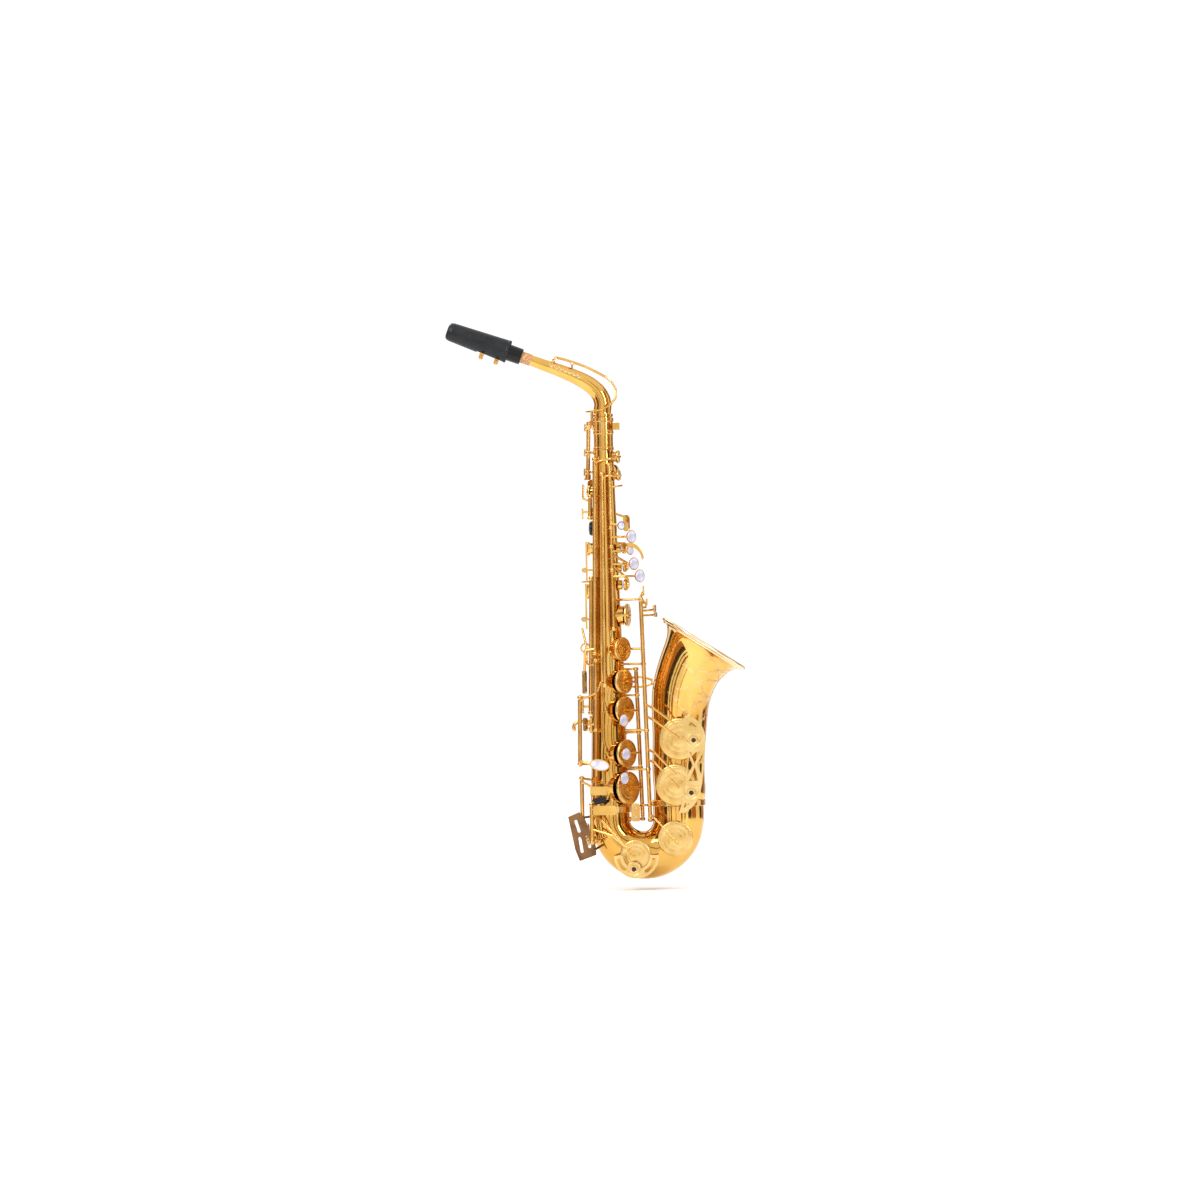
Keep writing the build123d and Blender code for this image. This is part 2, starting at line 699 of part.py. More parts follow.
def make_guard_bumpers():
    """Felt-tipped adjusting screws in the guards' bosses."""
    bumpers = []
    down = Vector(0, -1, 0)
    for x, z in BELL_BOSSES:
        bumpers.append(rod(guard_point(x, z) - down * 1.0, guard_point(x, z) + down * 3.6, BOSS_HOLE))
    boss = Vector(LOW_C_BOSS[0], LOW_C_GUARD_Y, LOW_C_BOSS[1])
    bumpers.append(rod(boss - down * 1.0, boss + down * 3.6, BOSS_HOLE))
    return node(*bumpers)


REAR_GUARD_Y = -23.5


def make_rear_guard():
    """Slotted plate that shields the low Eb rod behind the bow."""
    corners = [(-54.3, 82), (-40, 88), (-33, 80), (-19.5, 44), (-19, 33), (-40.4, 25.4), (-46, 40)]
    outline = Face(Wire.make_polygon([Vector(x, REAR_GUARD_Y, z) for x, z in corners], close=True))
    plate = extrude(outline, 1.4, dir=(0, -1, 0))
    for low, high in (((-45, 78), (-40, 62)), ((-40, 56), (-37, 36)), ((-31, 58), (-27, 42))):
        middle = Vector((low[0] + high[0]) / 2, REAR_GUARD_Y, (low[1] + high[1]) / 2)
        upward = Vector(high[0] - low[0], 0, high[1] - low[1])
        plate = plate - slab(middle, (0, 1, 0), upward, 3.6, upward.length, 8, corner=1.7)
    feet = arm([(-20.5, REAR_GUARD_Y - 0.7, 40), (-9.5, -17, 46)], 1.5)
    upper = arm([(-35, REAR_GUARD_Y - 0.7, 81), (-23, -13, 82)], 1.5)
    return plate + join([feet]) + join([upper])


# ------------------------------------------------------------------ keys of the right hand
def stack_point(name, z, height, shift):
    """Point above a lower-stack cup: height over the pad face, shift along the skin."""
    angle = BODY_HOLES[name][0]
    return around(angle, z, CHIMNEY + height) + sideways(angle) * shift


# Lower stack: hole, hinge tube from, to, arm height, pearl height and sideways shift.
LOWER_STACK = {
    "f_sharp": (238.2, 266.3, 252, None, None),
    "key_f": (190.8, 232.8, 215, 204.0, -12.0),
    "key_e": (145.8, 185.3, 163, 161.0, -10.0),
    "key_d": (79.8, 140.3, 118, 130.2, -15.0),
}
STACK_PEARL_HEIGHT = 9.5


def lower_stack_key(name):
    low, high, arm_z, pearl_z, shift = LOWER_STACK[name]
    line = HINGES["lower_stack"]
    angle = BODY_HOLES[name][0]
    pieces = [cup_metal(name)] + cup_arm(name, line, arm_z)
    if pearl_z:
        seat = stack_point(name, pearl_z, STACK_PEARL_HEIGHT, shift)
        foot = stack_point(name, pearl_z + (BODY_HOLES[name][1] - pearl_z) * 0.4, CUP_TOP - 1.5, shift * 0.7)
        pieces += [pearl_dish(seat, outward(angle)), rod(foot, seat - outward(angle) * 1.4, 1.9)]
    metal = key(line, pieces, [(low, high)])
    return turned(node(metal, cup_pad(name)), line, STACK_OPEN)


def lower_stack_pearl(name):
    pearl_z, shift = LOWER_STACK[name][3:]
    seat = stack_point(name, pearl_z, STACK_PEARL_HEIGHT, shift)
    return turned(pearl(seat, outward(BODY_HOLES[name][0])), HINGES["lower_stack"], STACK_OPEN)


# Touches of the three side keys: tube from, to, touch middle, touch height, angle, reach of
# the arm's knee.
SIDE_TOUCHES = {
    "high_e": (292.6, 535.4, 253.5, 29, -152, 37.0),
    "side_c": (216.6, 383.4, 222.2, 17.5, -168, 34.0),
    "side_bb": (194.6, 278.4, 199.6, 17.0, -152, 34.0),
}
SIDE_TOUCH_REACH = 34.0
SIDE_TOUCH_KNEE = 12.0


def side_touch(name):
    """Flat touch plate at the end of a side key's arm."""
    low, _, middle_z, height, angle, knee_reach = SIDE_TOUCHES[name]
    centre = outward(angle) * SIDE_TOUCH_REACH + Vector(0, 0, middle_z)
    plate = slab(centre, outward(angle), (0, 0, 1), 9, height, 2.2, corner=2.5)
    joint_z = max(low + 3.4, middle_z)
    start = line_at(HINGES[name], joint_z)
    end = centre + Vector(0, 0, min(joint_z - middle_z, height / 2 - 3))
    knee_z = start.Z - min(1.5, start.Z - end.Z)
    knee = outward(angle + SIDE_TOUCH_KNEE) * knee_reach + Vector(0, 0, knee_z)
    return [plate] + arm([start, knee, end])


def make_high_e_key():
    line = HINGES["high_e"]
    route = [line_at(line, 533.2)]
    for angle, z in ((-111, 535.2), (-84, 537.1), (-57, 539.0), (-31, 540.4)):
        route.append(around(angle, z, ROD_LIFT + 1.5))
    centre, direction, _, _ = hole_frame("high_e")
    route.append(centre + direction * (PAD_GAP + CUP_TOP + 0.8))
    pieces = [cup_metal("high_e"), bent_bar(route, 1.5)] + side_touch("high_e")
    return node(key(line, pieces, [(292.6, 535.4)]), cup_pad("high_e"))


def make_side_key(name, foot_z):
    """Side key: upright tube, touch plate and a finger that tips its rocking cup key."""
    line = HINGES[name]
    low, high = SIDE_TOUCHES[name][:2]
    rocker_x = HINGES[name + "_cup"][0].X
    finger = Vector(rocker_x - 2.4, 0, foot_z)
    if name == "side_c":
        route = [line_at(line, high - 1.8), Vector(-27, -9, foot_z), finger]
    else:
        route = [line_at(line, high - 3), around(-136, 275.6, 10.8), around(-150, 277, 11)]
        route += [around(-160, 300, 9.5), finger]
    return key(line, side_touch(name) + arm(route, 1.4), [(low, high)])


BEAM_OVERHANG = 1.1


def make_rocking_cup(name, foot_z):
    """Cup key that rocks on a short horizontal hinge at the back of the body tube."""
    line = HINGES[name + "_cup"]
    pivot = line[0] * 0.5 + line[1] * 0.5
    centre, direction, _, radius = hole_frame(name)
    top_x = centre.X - PAD_GAP - CUP_TOP
    top_z = centre.Z + radius
    low_z = foot_z - BEAM_OVERHANG
    middle = Vector(top_x - 0.9, 0, (low_z + top_z) / 2)
    beam = slab(middle, (1, 0, 0), (0, 0, 1), 4.6, top_z - low_z, 2.4, corner=1.8)
    half_tube = Vector(0, CROSS_POST_Y - POST_HALF * 0.7 - TUBE_GAP, 0)
    barrel = rod(pivot - half_tube, pivot + half_tube, TUBE_RADIUS)
    metal = drilled(join([beam, barrel, cup_metal(name)]), line)
    return node(metal, cup_pad(name))


def make_high_fs_key():
    line = HINGES["high_fs"]
    route = [line_at(line, 513)]
    for angle in (-82, -66, -50, -34):
        route.append(around(angle, 516.5, ROD_LIFT + 5.6))
    centre, direction, _, _ = hole_frame("high_fs")
    route.append(centre + direction * (PAD_GAP + CUP_TOP + 0.6))
    finger = arm([line_at(line, 254), (-9.5, -31, 252.8), (-13, -32.5, 243)], 1.4)
    metal = key(line, [cup_metal("high_fs")] + arm(route, 1.3) + finger, [(251.6, 516.4)])
    return node(metal, cup_pad("high_fs"))


OVAL_CENTRE = (-12.8, -39.0, 147.9)
OVAL_TILT = 10.0


def oval(width, height, thick, back):
    """Oval plate facing -Y at the high F sharp touch."""
    plane = Plane(origin=Vector(OVAL_CENTRE) + Vector(0, back, 0), x_dir=(1, 0, 0), z_dir=(0, -1, 0))
    sketch = plane * Rotation(0, 0, -OVAL_TILT) * Ellipse(width / 2, height / 2)
    return extrude(sketch, thick)


def make_high_fs_lever():
    line = HINGES["high_fs_lever"]
    lower = arm([line_at(line, 154), (-34, -32, 152), (-22, -37, 149.5)])
    upper = arm([line_at(line, 228), (-31, -29, 233), (-17, -34, 239)], 1.4)
    dish = oval(25.6, 14.7, 2.4, 1.6)
    stud = oval(22.8, 12.0, 1.6, -0.8)
    metal = key(line, lower + upper + [dish], [(151.6, 231.4)])
    return node(metal, stud)


ROLLER_LOW = (-23.0, -41.0, 100.6)
ROLLER_HIGH = (-3.6, -41.0, 104.8)
ROLLER_RADIUS = 4.4


def make_low_eb_key():
    """Low Eb key: touch plate with its roller's ears, arm round the back, cup on the bow."""
    line = HINGES["low_eb"]
    plate = slab((-13, -39, 115), (0, 1, 0), (0, 0, 1), 25, 11, 2.4, corner=3)
    ears = arm([(-23.9, -39, 113), ROLLER_LOW], 1.2) + arm([(-2.4, -39, 114), ROLLER_HIGH], 1.2)
    axle = [rod(ROLLER_LOW, ROLLER_HIGH, 0.9)]
    upper = arm([line_at(line, 126), (-30, -36, 124), (-20, -39, 118)])
    centre, direction, _, _ = hole_frame("low_eb")
    top = centre + direction * (PAD_GAP + CUP_TOP + 0.4)
    lower = arm([line_at(line, 62), Vector(-37.5, -9, 59), top])
    pieces = [plate, cup_metal("low_eb")] + ears + axle + upper + lower
    return node(key(line, pieces, [(57.6, 128.4)]), cup_pad("low_eb"))


def make_pinky_roller():
    """Smooth black roller on the low Eb touch."""
    low = Vector(ROLLER_LOW)
    along = (Vector(ROLLER_HIGH) - low).normalized()
    length = (Vector(ROLLER_HIGH) - low).length
    barrel = rod(low + along * 1.7, low + along * (length - 1.7), ROLLER_RADIUS)
    barrel = fillet(barrel.edges().filter_by(GeomType.CIRCLE), 1.4)
    return barrel - rod(low, Vector(ROLLER_HIGH), 0.95)


def make_low_c_key():
    """Low C key: touch plate below the roller and two long arms to the cup."""
    line = HINGES["low_c"]
    plate = slab((-6, -39.5, 90.0), (0, 1, 0), (0, 0, 1), 31, 12, 2.4, corner=4)
    centre, direction, _, _ = hole_frame("low_c")
    lift = PAD_GAP + CUP_TOP + 0.6
    top = centre + direction * lift
    arms = arm([line_at(line, 86), (-10, -39.5, 77), top + Vector(-2, 0.2, 1)])
    arms += arm([line_at(line, 66), (3, -39.5, 58), top + Vector(-8, 0.2, 8)])
    neck = arm([line_at(line, 91.5), (-14, -39, 91)])
    metal = key(line, [plate, cup_metal("low_c")] + arms + neck, [(51.6, 94.4)])
    return turned(node(metal, cup_pad("low_c")), line, -LOW_C_OPEN)


# ------------------------------------------------------------------ keys of the left hand
# Upper stack: hinge tube from, to, arm height, pearl seat, pearl radius.
UPPER_STACK = {
    "key_g": (323.6, 393.4, 338, (42.0, -13.5, 387.8), PEARL_RADIUS),
    "key_a": (398.6, 410.6, 403, (35.0, -14.5, 403.5), PEARL_RADIUS),
    "key_bis": (411.4, 423.4, 416.6, (31.0, -17.0, 420.3), 4.8),
    "key_b": (428.6, 447.4, 431, (32.5, -14.5, 438.2), PEARL_RADIUS),
}
UPPER_PEARL_ANGLE = -39.0


def upper_stack_key(name):
    low, high, arm_z, seat, radius = UPPER_STACK[name]
    line = HINGES["upper_stack"]
    seat = Vector(seat)
    facing = outward(UPPER_PEARL_ANGLE)
    joint = line_at(line, min(max(seat.Z, low + 1.6), high - 1.6))
    knee = Vector((joint.X + seat.X) / 2, min(joint.Y, seat.Y) - 3.5, (joint.Z + seat.Z) / 2)
    touch = [pearl_dish(seat, facing, radius)] + arm([joint, knee, seat - facing * 1.6], 1.5)
    solids = [key(line, [cup_metal(name)] + cup_arm(name, line, arm_z) + touch, [(low, high)]), cup_pad(name)]
    if radius < PEARL_RADIUS:
        solids.append(pearl(seat, facing, radius))
    return turned(node(*solids), line, -UPPER_STACK_OPEN)


def upper_stack_pearl(name):
    seat, radius = UPPER_STACK[name][3:]
    button = pearl(Vector(seat), outward(UPPER_PEARL_ANGLE), radius)
    return turned(button, HINGES["upper_stack"], -UPPER_STACK_OPEN)


def make_front_f_key():
    """Front F key: small pearl touch on the upper stack's rod and a finger above it."""
    line = HINGES["upper_stack"]
    seat = Vector(20.4, -25.0, 452.5)
    facing = outward(-60)
    touch = [pearl_dish(seat, facing, 4.6)] + arm([line_at(line, 456), seat - facing * 1.6], 1.5)
    finger = arm([line_at(line, 502), around(-40, 503, 8.5), around(-10, 504, 9)], 1.3)
    metal = key(line, touch + finger, [(452.6, 527.4)])
    return node(metal, pearl(seat, facing, 4.6))


def palm_key(name, bend, knee_lift, touch_angle, touch_z, touch_lift, height, tube):
    """Palm key: cup and curved touch on either side of a short upright hinge."""
    line = HINGES[name]
    touch = around(touch_angle, touch_z, touch_lift)
    plate = slab(touch, outward(touch_angle), (0, 0, 1), 11, height, 2.4, corner=4.5)
    cup_z = BODY_HOLES[name][1]
    inside = min(max(cup_z, tube[0] + 2), tube[1] - 2)
    knee_angle = (BODY_HOLES[name][0] + 2 * touch_angle) / 3
    knee = around(knee_angle, bend, knee_lift)
    route = [line_at(line, bend), knee, touch + Vector(0, 0, height / 2 - 3)]
    pieces = [plate, cup_metal(name)] + arm(route) + cup_arm(name, line, inside)
    return node(key(line, pieces, [tube]), cup_pad(name))


def make_g_sharp_key():
    line = HINGES["g_sharp"]
    plate = slab((47.5, 11, 369), (1, 0, 0), (0, 0, 1), 24, 13, 2.4, corner=4)
    touch = arm([line_at(line, 353.6), (48.6, -5.5, 353.6), (43.8, 0.5, 361), (46.8, 4, 367)])
    pieces = [plate, cup_metal("key_g_sharp")] + touch + cup_arm("key_g_sharp", line, 295)
    return node(key(line, pieces, [(278.4, 355.4)]), cup_pad("key_g_sharp"))


def pinky_touch(name, z, knee, centre, width, height):
    """Touch plate of the left little finger and the arm that carries it."""
    plate = slab(centre, (1, 0, 0), (0, 0, 1), width, height, 2.4, corner=2.5)
    return [plate] + arm([line_at(HINGES[name], z), knee, centre], 1.4)


def make_low_cs_lever():
    """Left little-finger lever of the low C sharp key."""
    line = HINGES["low_cs"]
    touch = pinky_touch("low_cs", 347.5, (49.5, -13, 347.5), (51.5, 10, 354.5), 18, 9)
    finger = arm([line_at(line, 100), line_at(line, 100) + Vector(5.5, -2, 0)], 1.4)
    return key(line, touch + finger, [(97.6, 355.4)])


def make_low_cs_key():
    line = HINGES["low_cs"]
    centre, direction, _, _ = hole_frame("low_cs")
    top = centre + direction * (PAD_GAP + CUP_TOP + 0.6)
    route = [line_at(line, 84), (56, -38, 79), top + Vector(3, -0.2, -6)]
    metal = key(line, [cup_metal("low_cs")] + arm(route), [(78.6, 92.4)])
    return node(metal, cup_pad("low_cs"))


# Bell keys: tube from, arm heights with their ends on the cup, touch height.
BELL_KEYS = {
    "low_b": (143.6, ((167, (-1, 15)), (154, (3, -3))), 343.5, (49, -20, 343.5), (56.5, 6, 346), 9),
    "low_bb": (193.6, ((224, (-5, 19)), (209, (-2, 2))), 337.5, (49, -29, 337.5), (56.5, 6, 338), 6),
}


def bell_key(name):
    low, arms, touch_z, knee, touch_centre, touch_height = BELL_KEYS[name]
    line = HINGES[name]
    centre, direction, _, _ = hole_frame(name)
    top = centre + direction * (PAD_GAP + CUP_TOP + 0.3)
    plate = slab(touch_centre, (1, 0, 0), (0, 0, 1), 16, touch_height, 2.4, corner=2.5)
    pieces = [cup_metal(name), plate, bent_bar([line_at(line, touch_z), knee, touch_centre], 1.45)]
    for arm_z, (shift_x, shift_z) in arms:
        start = line_at(line, arm_z)
        end = top + Vector(shift_x, -0.2, shift_z)
        over = Vector(start.X + 12, (start.Y + end.Y) / 2 - 4.5, start.Z - 5)
        pieces += arm([start, over, end])
    metal = key(line, pieces, [(low, 355.4)])
    return turned(node(metal, cup_pad(name)), line, -BELL_KEY_OPEN)


# ------------------------------------------------------------------ octave mechanism
def make_octave_lever():
    """Left-thumb octave lever, a curved touch above the thumb rest."""
    line = HINGES["octave_lever"]
    touch = slab((-28.5, 1.5, 469), (-1, 0, 0), (0, 0, 1), 18, 14, 2.4, corner=6)
    link = arm([line_at(line, 470), (-26, -8, 471), (-27.6, -2, 471)])
    finger = arm([line_at(line, 484), (-27.5, -9, 488), (-27, -6, 505)], 1.4)
    return key(line, [touch] + link + finger, [(465.6, 488.4)])


def make_octave_rod():
    """Upright rocker whose top pin tips the neck's octave key."""
    line = HINGES["octave_rod"]
    upper = arm([line_at(line, 585), (-14.2, 7.7, 588)], 1.4)
    pin = [rod((-14.2, 7.7, 579), (-14.2, 7.7, 600), 1.8)]
    finger = arm([line_at(line, 516), (-24.5, -3, 513)], 1.5)
    knob = [rod(line_at(line, 513), line_at(line, 519), 3.6)]
    tubes = [(512, 519.4), (524.6, 544.4), (549.6, 576.4), (581.6, 586.5)]
    bridges = []
    for low, high in ((518, 526), (543, 551), (575, 583)):
        bow = Vector(-4.6, 0, 0)
        start = line_at(line, low)
        end = line_at(line, high)
        bridges += arm([start, start + bow, end + bow, end], 1.1)
    return key(line, upper + pin + finger + knob + bridges, tubes)


def make_neck_octave_key():
    """Neck octave key: pad over the vent, rocker, and the loop round the neck."""
    line = HINGES["neck_octave"]
    run = [(-59.6, 0, 669.8), (-48, 0, 666.8), (-38.3, 0, 663.6), (-22, 0, 657.5), (-8, 0, 650.5)]
    lever = arm(run + [(4, 0, 643.5)], 1.7)
    cup = spun(((0, 0), (4.4, 0), (4.4, 1.6), (2, 3.0), (0, 3.2)), (-59.4, 0, 667.0), VENT_DIRECTION)
    barrel = [rod((-38.3, -2.6, 661.5), (-38.3, 2.6, 661.5), 2.4)]
    sides = []
    for side in (-1, 1):
        route = [(4, 0, 643.5), (12, 5 * side, 637), (17.5, 9 * side, 627), (16.5, 12 * side, 616),
                 (9, 16.5 * side, 607), (-2, 19.5 * side, 601), (-14.5, 14.5 * side, 599.5), (-21, 0, 599.3)]
        sides += arm(route, 1.25)
    return drilled(join([lever, [cup], barrel, sides]), line)


# ------------------------------------------------------------------ neck and mouthpiece
def pipe_point(along, above=0.0, y=0.0):
    """Point on the mouthpiece's axis, along it from the neck's end, above it."""
    c = cos(radians(PIPE_ANGLE))
    s = sin(radians(PIPE_ANGLE))
    x, z = PIPE_START
    return Vector(x - along * c + above * s, y, z + along * s + above * c)


PIPE_DIRECTION = Vector(-cos(radians(PIPE_ANGLE)), 0, sin(radians(PIPE_ANGLE)))


def neck_skin(inset):
    """Loft along the neck's curve, each section square to the curve."""
    points = [(x, z) for x, z, _ in NECK_SECTIONS]
    faces = []
    for i, (x, z, radius) in enumerate(NECK_SECTIONS):
        before = points[max(i - 1, 0)]
        after = points[min(i + 1, len(points) - 1)]
        run = Vector(after[0] - before[0], 0, after[1] - before[1])
        if i in (0, 1):
            run = Vector(0, 0, 1)
        if i == len(points) - 1:
            run = PIPE_DIRECTION
        plane = Plane(origin=Vector(x, 0, z), x_dir=Vector(0, 1, 0), z_dir=run)
        faces.append(plane * Circle(radius - inset))
    return loft(faces)


def make_neck_tube():
    """Curved neck with its tenon, collar, cork seat, octave vent and the octave key's saddles."""
    inner = neck_skin(NECK_BORE_WALL)
    seat = rod(pipe_point(-0.5), pipe_point(CORK_LENGTH), CORK_SEAT_RADIUS)
    seat_bore = rod(pipe_point(-1), pipe_point(CORK_LENGTH + 1), CORK_SEAT_RADIUS - NECK_BORE_WALL)
    pipe = neck_skin(0).fuse(seat) - inner - seat_bore
    tenon = rod((0, 0, TENON_LOW_Z), (0, 0, TENON_TOP_Z), TENON_RADIUS)
    collar = ring_band((0, 0, TENON_TOP_Z + 1.5), (0, 0, 1), TENON_RADIUS / 2, 12.9, 4.0)
    tenon_bore = rod((0, 0, TENON_LOW_Z - 1), (0, 0, TENON_TOP_Z + 8), TENON_RADIUS - NECK_BORE_WALL)
    saddles = []
    half = Vector(0, 1.1, 0)
    for y in (-4.4, 4.4):
        seat_point = Vector(-38.3, y, 661.5)
        saddles.append(rod(seat_point - half, seat_point + half, 2.6))
        saddles.append(rod((-38.3, y * 0.9, 651), seat_point, 1.1))
    vent_foot = Vector(-59, 0, 655)
    vent = rod(vent_foot, vent_foot + VENT_DIRECTION * 11, 2.2)
    vent_bore = rod(vent_foot, vent_foot + VENT_DIRECTION * 13, 1.2)
    shape = pipe.fuse(tenon.fuse(collar) - tenon_bore)
    shape = shape.fuse(vent, *saddles) - vent_bore - inner
    return drilled(shape, HINGES["neck_octave"])


def make_neck_cork():
    sleeve = rod(pipe_point(0.2), pipe_point(CORK_LENGTH), CORK_RADIUS)
    return sleeve - rod(pipe_point(-1), pipe_point(CORK_LENGTH + 1), CORK_SEAT_RADIUS)


SHANK_START = 13.0
SHANK_RADIUS = 10.35
TIP = 103.0
TABLE_START = 52.0
TABLE_DEPTH = 7.4
REED_THICK = 2.2
REED_HALF = 5.4


def make_mouthpiece():
    """Round shank and barrel that slope to a thin beak above a flat table."""
    profile = (
        (0, SHANK_START),
        (SHANK_RADIUS - 0.5, SHANK_START),
        (SHANK_RADIUS, SHANK_START + 0.5),
        (SHANK_RADIUS + 0.4, 36),
        (SHANK_RADIUS + 0.7, 68),
        (SHANK_RADIUS - 0.8, 92),
        (SHANK_RADIUS - 2.2, TIP),
        (0, TIP),
    )
    solid = spun(profile, pipe_point(0), PIPE_DIRECTION)
    down = pipe_point(0, -1) - pipe_point(0)
    under = Plane(origin=pipe_point(TABLE_START, -TABLE_DEPTH), x_dir=(0, 1, 0), z_dir=down)
    cut_under = extrude(under * Rectangle(40, 2 * (TIP - TABLE_START + 4)), 20)
    cut_under = cut_under & rod(pipe_point(TABLE_START), pipe_point(TIP + 6), 40)
    beak_corners = ((66, 16), (66, 10.6), (TIP + 1, -5.6), (TIP + 1, 16))
    beak = Face(Wire.make_polygon([pipe_point(a, b, -20) for a, b in beak_corners], close=True))
    cut_beak = extrude(beak, 40, dir=(0, 1, 0))
    bore = rod(pipe_point(SHANK_START - 1), pipe_point(60), CORK_RADIUS + FIT)
    window = rod(pipe_point(58), pipe_point(84, -3.5), 4.6)
    return solid - cut_under - cut_beak - bore - window


def make_reed():
    """Cane reed, flat on the table and shaved thin towards the tip."""
    side = [
        (TABLE_START + 1, -TABLE_DEPTH),
        (TIP - 0.5, -TABLE_DEPTH),
        (TIP - 0.5, -TABLE_DEPTH - 0.3),
        (TABLE_START + 26, -TABLE_DEPTH - REED_THICK),
        (TABLE_START + 1, -TABLE_DEPTH - REED_THICK),
    ]
    face = Face(Wire.make_polygon([pipe_point(a, b, -REED_HALF) for a, b in side], close=True))
    return extrude(face, 2 * REED_HALF, dir=(0, 1, 0))


LIGATURE_START = 38.0
LIGATURE_END = 66.0
LIGATURE_INNER = 11.25
SCREW_PLACES = (41.5, 61.9)
SCREW_DEPTH = 18.2


def make_ligature():
    """Metal band round the mouthpiece with two pairs of lugs underneath."""
    band = rod(pipe_point(LIGATURE_START), pipe_point(LIGATURE_END), LIGATURE_INNER + 0.8)
    band = band - rod(pipe_point(LIGATURE_START - 1), pipe_point(LIGATURE_END + 1), LIGATURE_INNER)
    down = pipe_point(0, -1) - pipe_point(0)
    shape = band
    for place in SCREW_PLACES:
        for y in (-3.2, 3.2):
            lug = slab(pipe_point(place, -15.8, y), (0, 1, 0), down, 5.6, 8.6, 2.0, corner=1.6)
            shape = shape + lug
    gap = slab(pipe_point((LIGATURE_START + LIGATURE_END) / 2, -14), (0, 1, 0), down, 40, 9, 3.6, corner=1)
    shape = shape - gap
    for place in SCREW_PLACES:
        shape = shape - rod(pipe_point(place, -SCREW_DEPTH, -9), pipe_point(place, -SCREW_DEPTH, 9), ROD_BORE)
    return shape


def ligature_screw(place):
    down = pipe_point(0, -1) - pipe_point(0)
    shank = rod(pipe_point(place, -SCREW_DEPTH, -6), pipe_point(place, -SCREW_DEPTH, 5.6), ROD_RADIUS)
    collar = rod(pipe_point(place, -SCREW_DEPTH, -7.0), pipe_point(place, -SCREW_DEPTH, -4.6), 2.3)
    wing = slab(pipe_point(place, -SCREW_DEPTH, -9.6), PIPE_DIRECTION, (0, 1, 0), 6.4, 6.2, 1.8, corner=2.2)
    return join([shank, collar, wing])


CAP_START = 30.6
CAP_END = 113.8
CAP_RADIUS = 15.3
CAP_TIP_RADIUS = 11.7
CAP_WALL = 1.3


def make_mouthpiece_cap():
    """Tapered cover with a slot underneath for the ligature's screws."""
    outer = (
        (0, CAP_START),
        (CAP_RADIUS - 0.5, CAP_START),
        (CAP_RADIUS, CAP_START + 0.6),
        (CAP_RADIUS, CAP_START + 3),
        (CAP_RADIUS - 0.4, CAP_START + 4),
        (CAP_TIP_RADIUS + 0.3, CAP_END - 6),
        (CAP_TIP_RADIUS - 0.6, CAP_END - 2.4),
        (CAP_TIP_RADIUS - 2.6, CAP_END - 0.6),
        (CAP_TIP_RADIUS - 5.5, CAP_END),
        (0, CAP_END),
    )
    inner = (
        (0, CAP_START - 1),
        (CAP_RADIUS - CAP_WALL, CAP_START - 1),
        (CAP_TIP_RADIUS - CAP_WALL, CAP_END - 5),
        (0, CAP_END - 3),
    )
    shape = spun(outer, pipe_point(0), PIPE_DIRECTION) - spun(inner, pipe_point(0), PIPE_DIRECTION)
    down = pipe_point(0, -1) - pipe_point(0)
    slot = slab(pipe_point(CAP_START + 17, -14), (0, 1, 0), down, 44, 16, 12.4, corner=2)
    return shape - slot


# ------------------------------------------------------------------ writing the nodes
def make_nodes():
    nodes = {
        "body_tube": make_body_tube(),
        "bow": make_bow(),
        "bell": make_bell(),
        "bow_ferrules": make_bow_ferrules(),
        "neck_receiver": make_neck_receiver(),
        "bell_brace": make_bell_brace(),
        "key_posts": make_key_posts(),
        "hinge_rods": make_hinge_rods(),
        "strap_ring": make_strap_ring(),
        "thumb_hook": make_thumb_hook(),
        "thumb_rest": make_thumb_rest(),
        "bell_key_guard": make_bell_key_guard(),
        "low_c_guard": make_low_c_guard(),
        "guard_bumpers": make_guard_bumpers(),
        "rear_guard": make_rear_guard(),
        "neck_screw": make_neck_screw(),
        "neck_tube": make_neck_tube(),
        "neck_cork": make_neck_cork(),
        "neck_octave_key": make_neck_octave_key(),
        "mouthpiece": make_mouthpiece(),
        "reed": make_reed(),
        "ligature": make_ligature(),
        "mouthpiece_cap": make_mouthpiece_cap(),
        "octave_lever": make_octave_lever(),
        "octave_rod": make_octave_rod(),
        "high_e_key": make_high_e_key(),
        "high_fs_key": make_high_fs_key(),
        "high_fs_lever": make_high_fs_lever(),
        "side_c_touch": make_side_key("side_c", 381.5),
        "side_c_cup": make_rocking_cup("side_c", 381.5),
        "side_bb_touch": make_side_key("side_bb", 322),
        "side_bb_cup": make_rocking_cup("side_bb", 322),
        "front_f_key": make_front_f_key(),
        "palm_f_key": palm_key("palm_f", 514, 15.5, 122, 505, 17, 16, (507.6, 528.4)),
        "palm_eb_key": palm_key("palm_eb", 493.8, 16.5, 86, 466, 18, 21, (491.6, 508.4)),
        "palm_d_key": palm_key("palm_d", 470, 11, 40, 456, 21, 21, (461.6, 482.4)),
        "g_sharp_key": make_g_sharp_key(),
        "low_cs_lever": make_low_cs_lever(),
        "low_cs_key": make_low_cs_key(),
        "low_b_key": bell_key("low_b"),
        "low_bb_key": bell_key("low_bb"),
        "low_c_key": make_low_c_key(),
        "low_eb_key": make_low_eb_key(),
        "pinky_roller": make_pinky_roller(),
        "f_sharp_key": lower_stack_key("f_sharp"),
    }
    for number, place in enumerate(SCREW_PLACES):
        nodes["ligature_screw_" + ("rear", "front")[number]] = ligature_screw(place)
    for name in ("key_f", "key_e", "key_d"):
        letter = name[-1]
        nodes[letter + "_key"] = lower_stack_key(name)
        nodes[letter + "_pearl"] = lower_stack_pearl(name)
    for name in UPPER_STACK:
        label = name.replace("key_", "")
        nodes[label + "_key"] = upper_stack_key(name)
        if name != "key_bis":
            nodes[label + "_pearl"] = upper_stack_pearl(name)
    return nodes


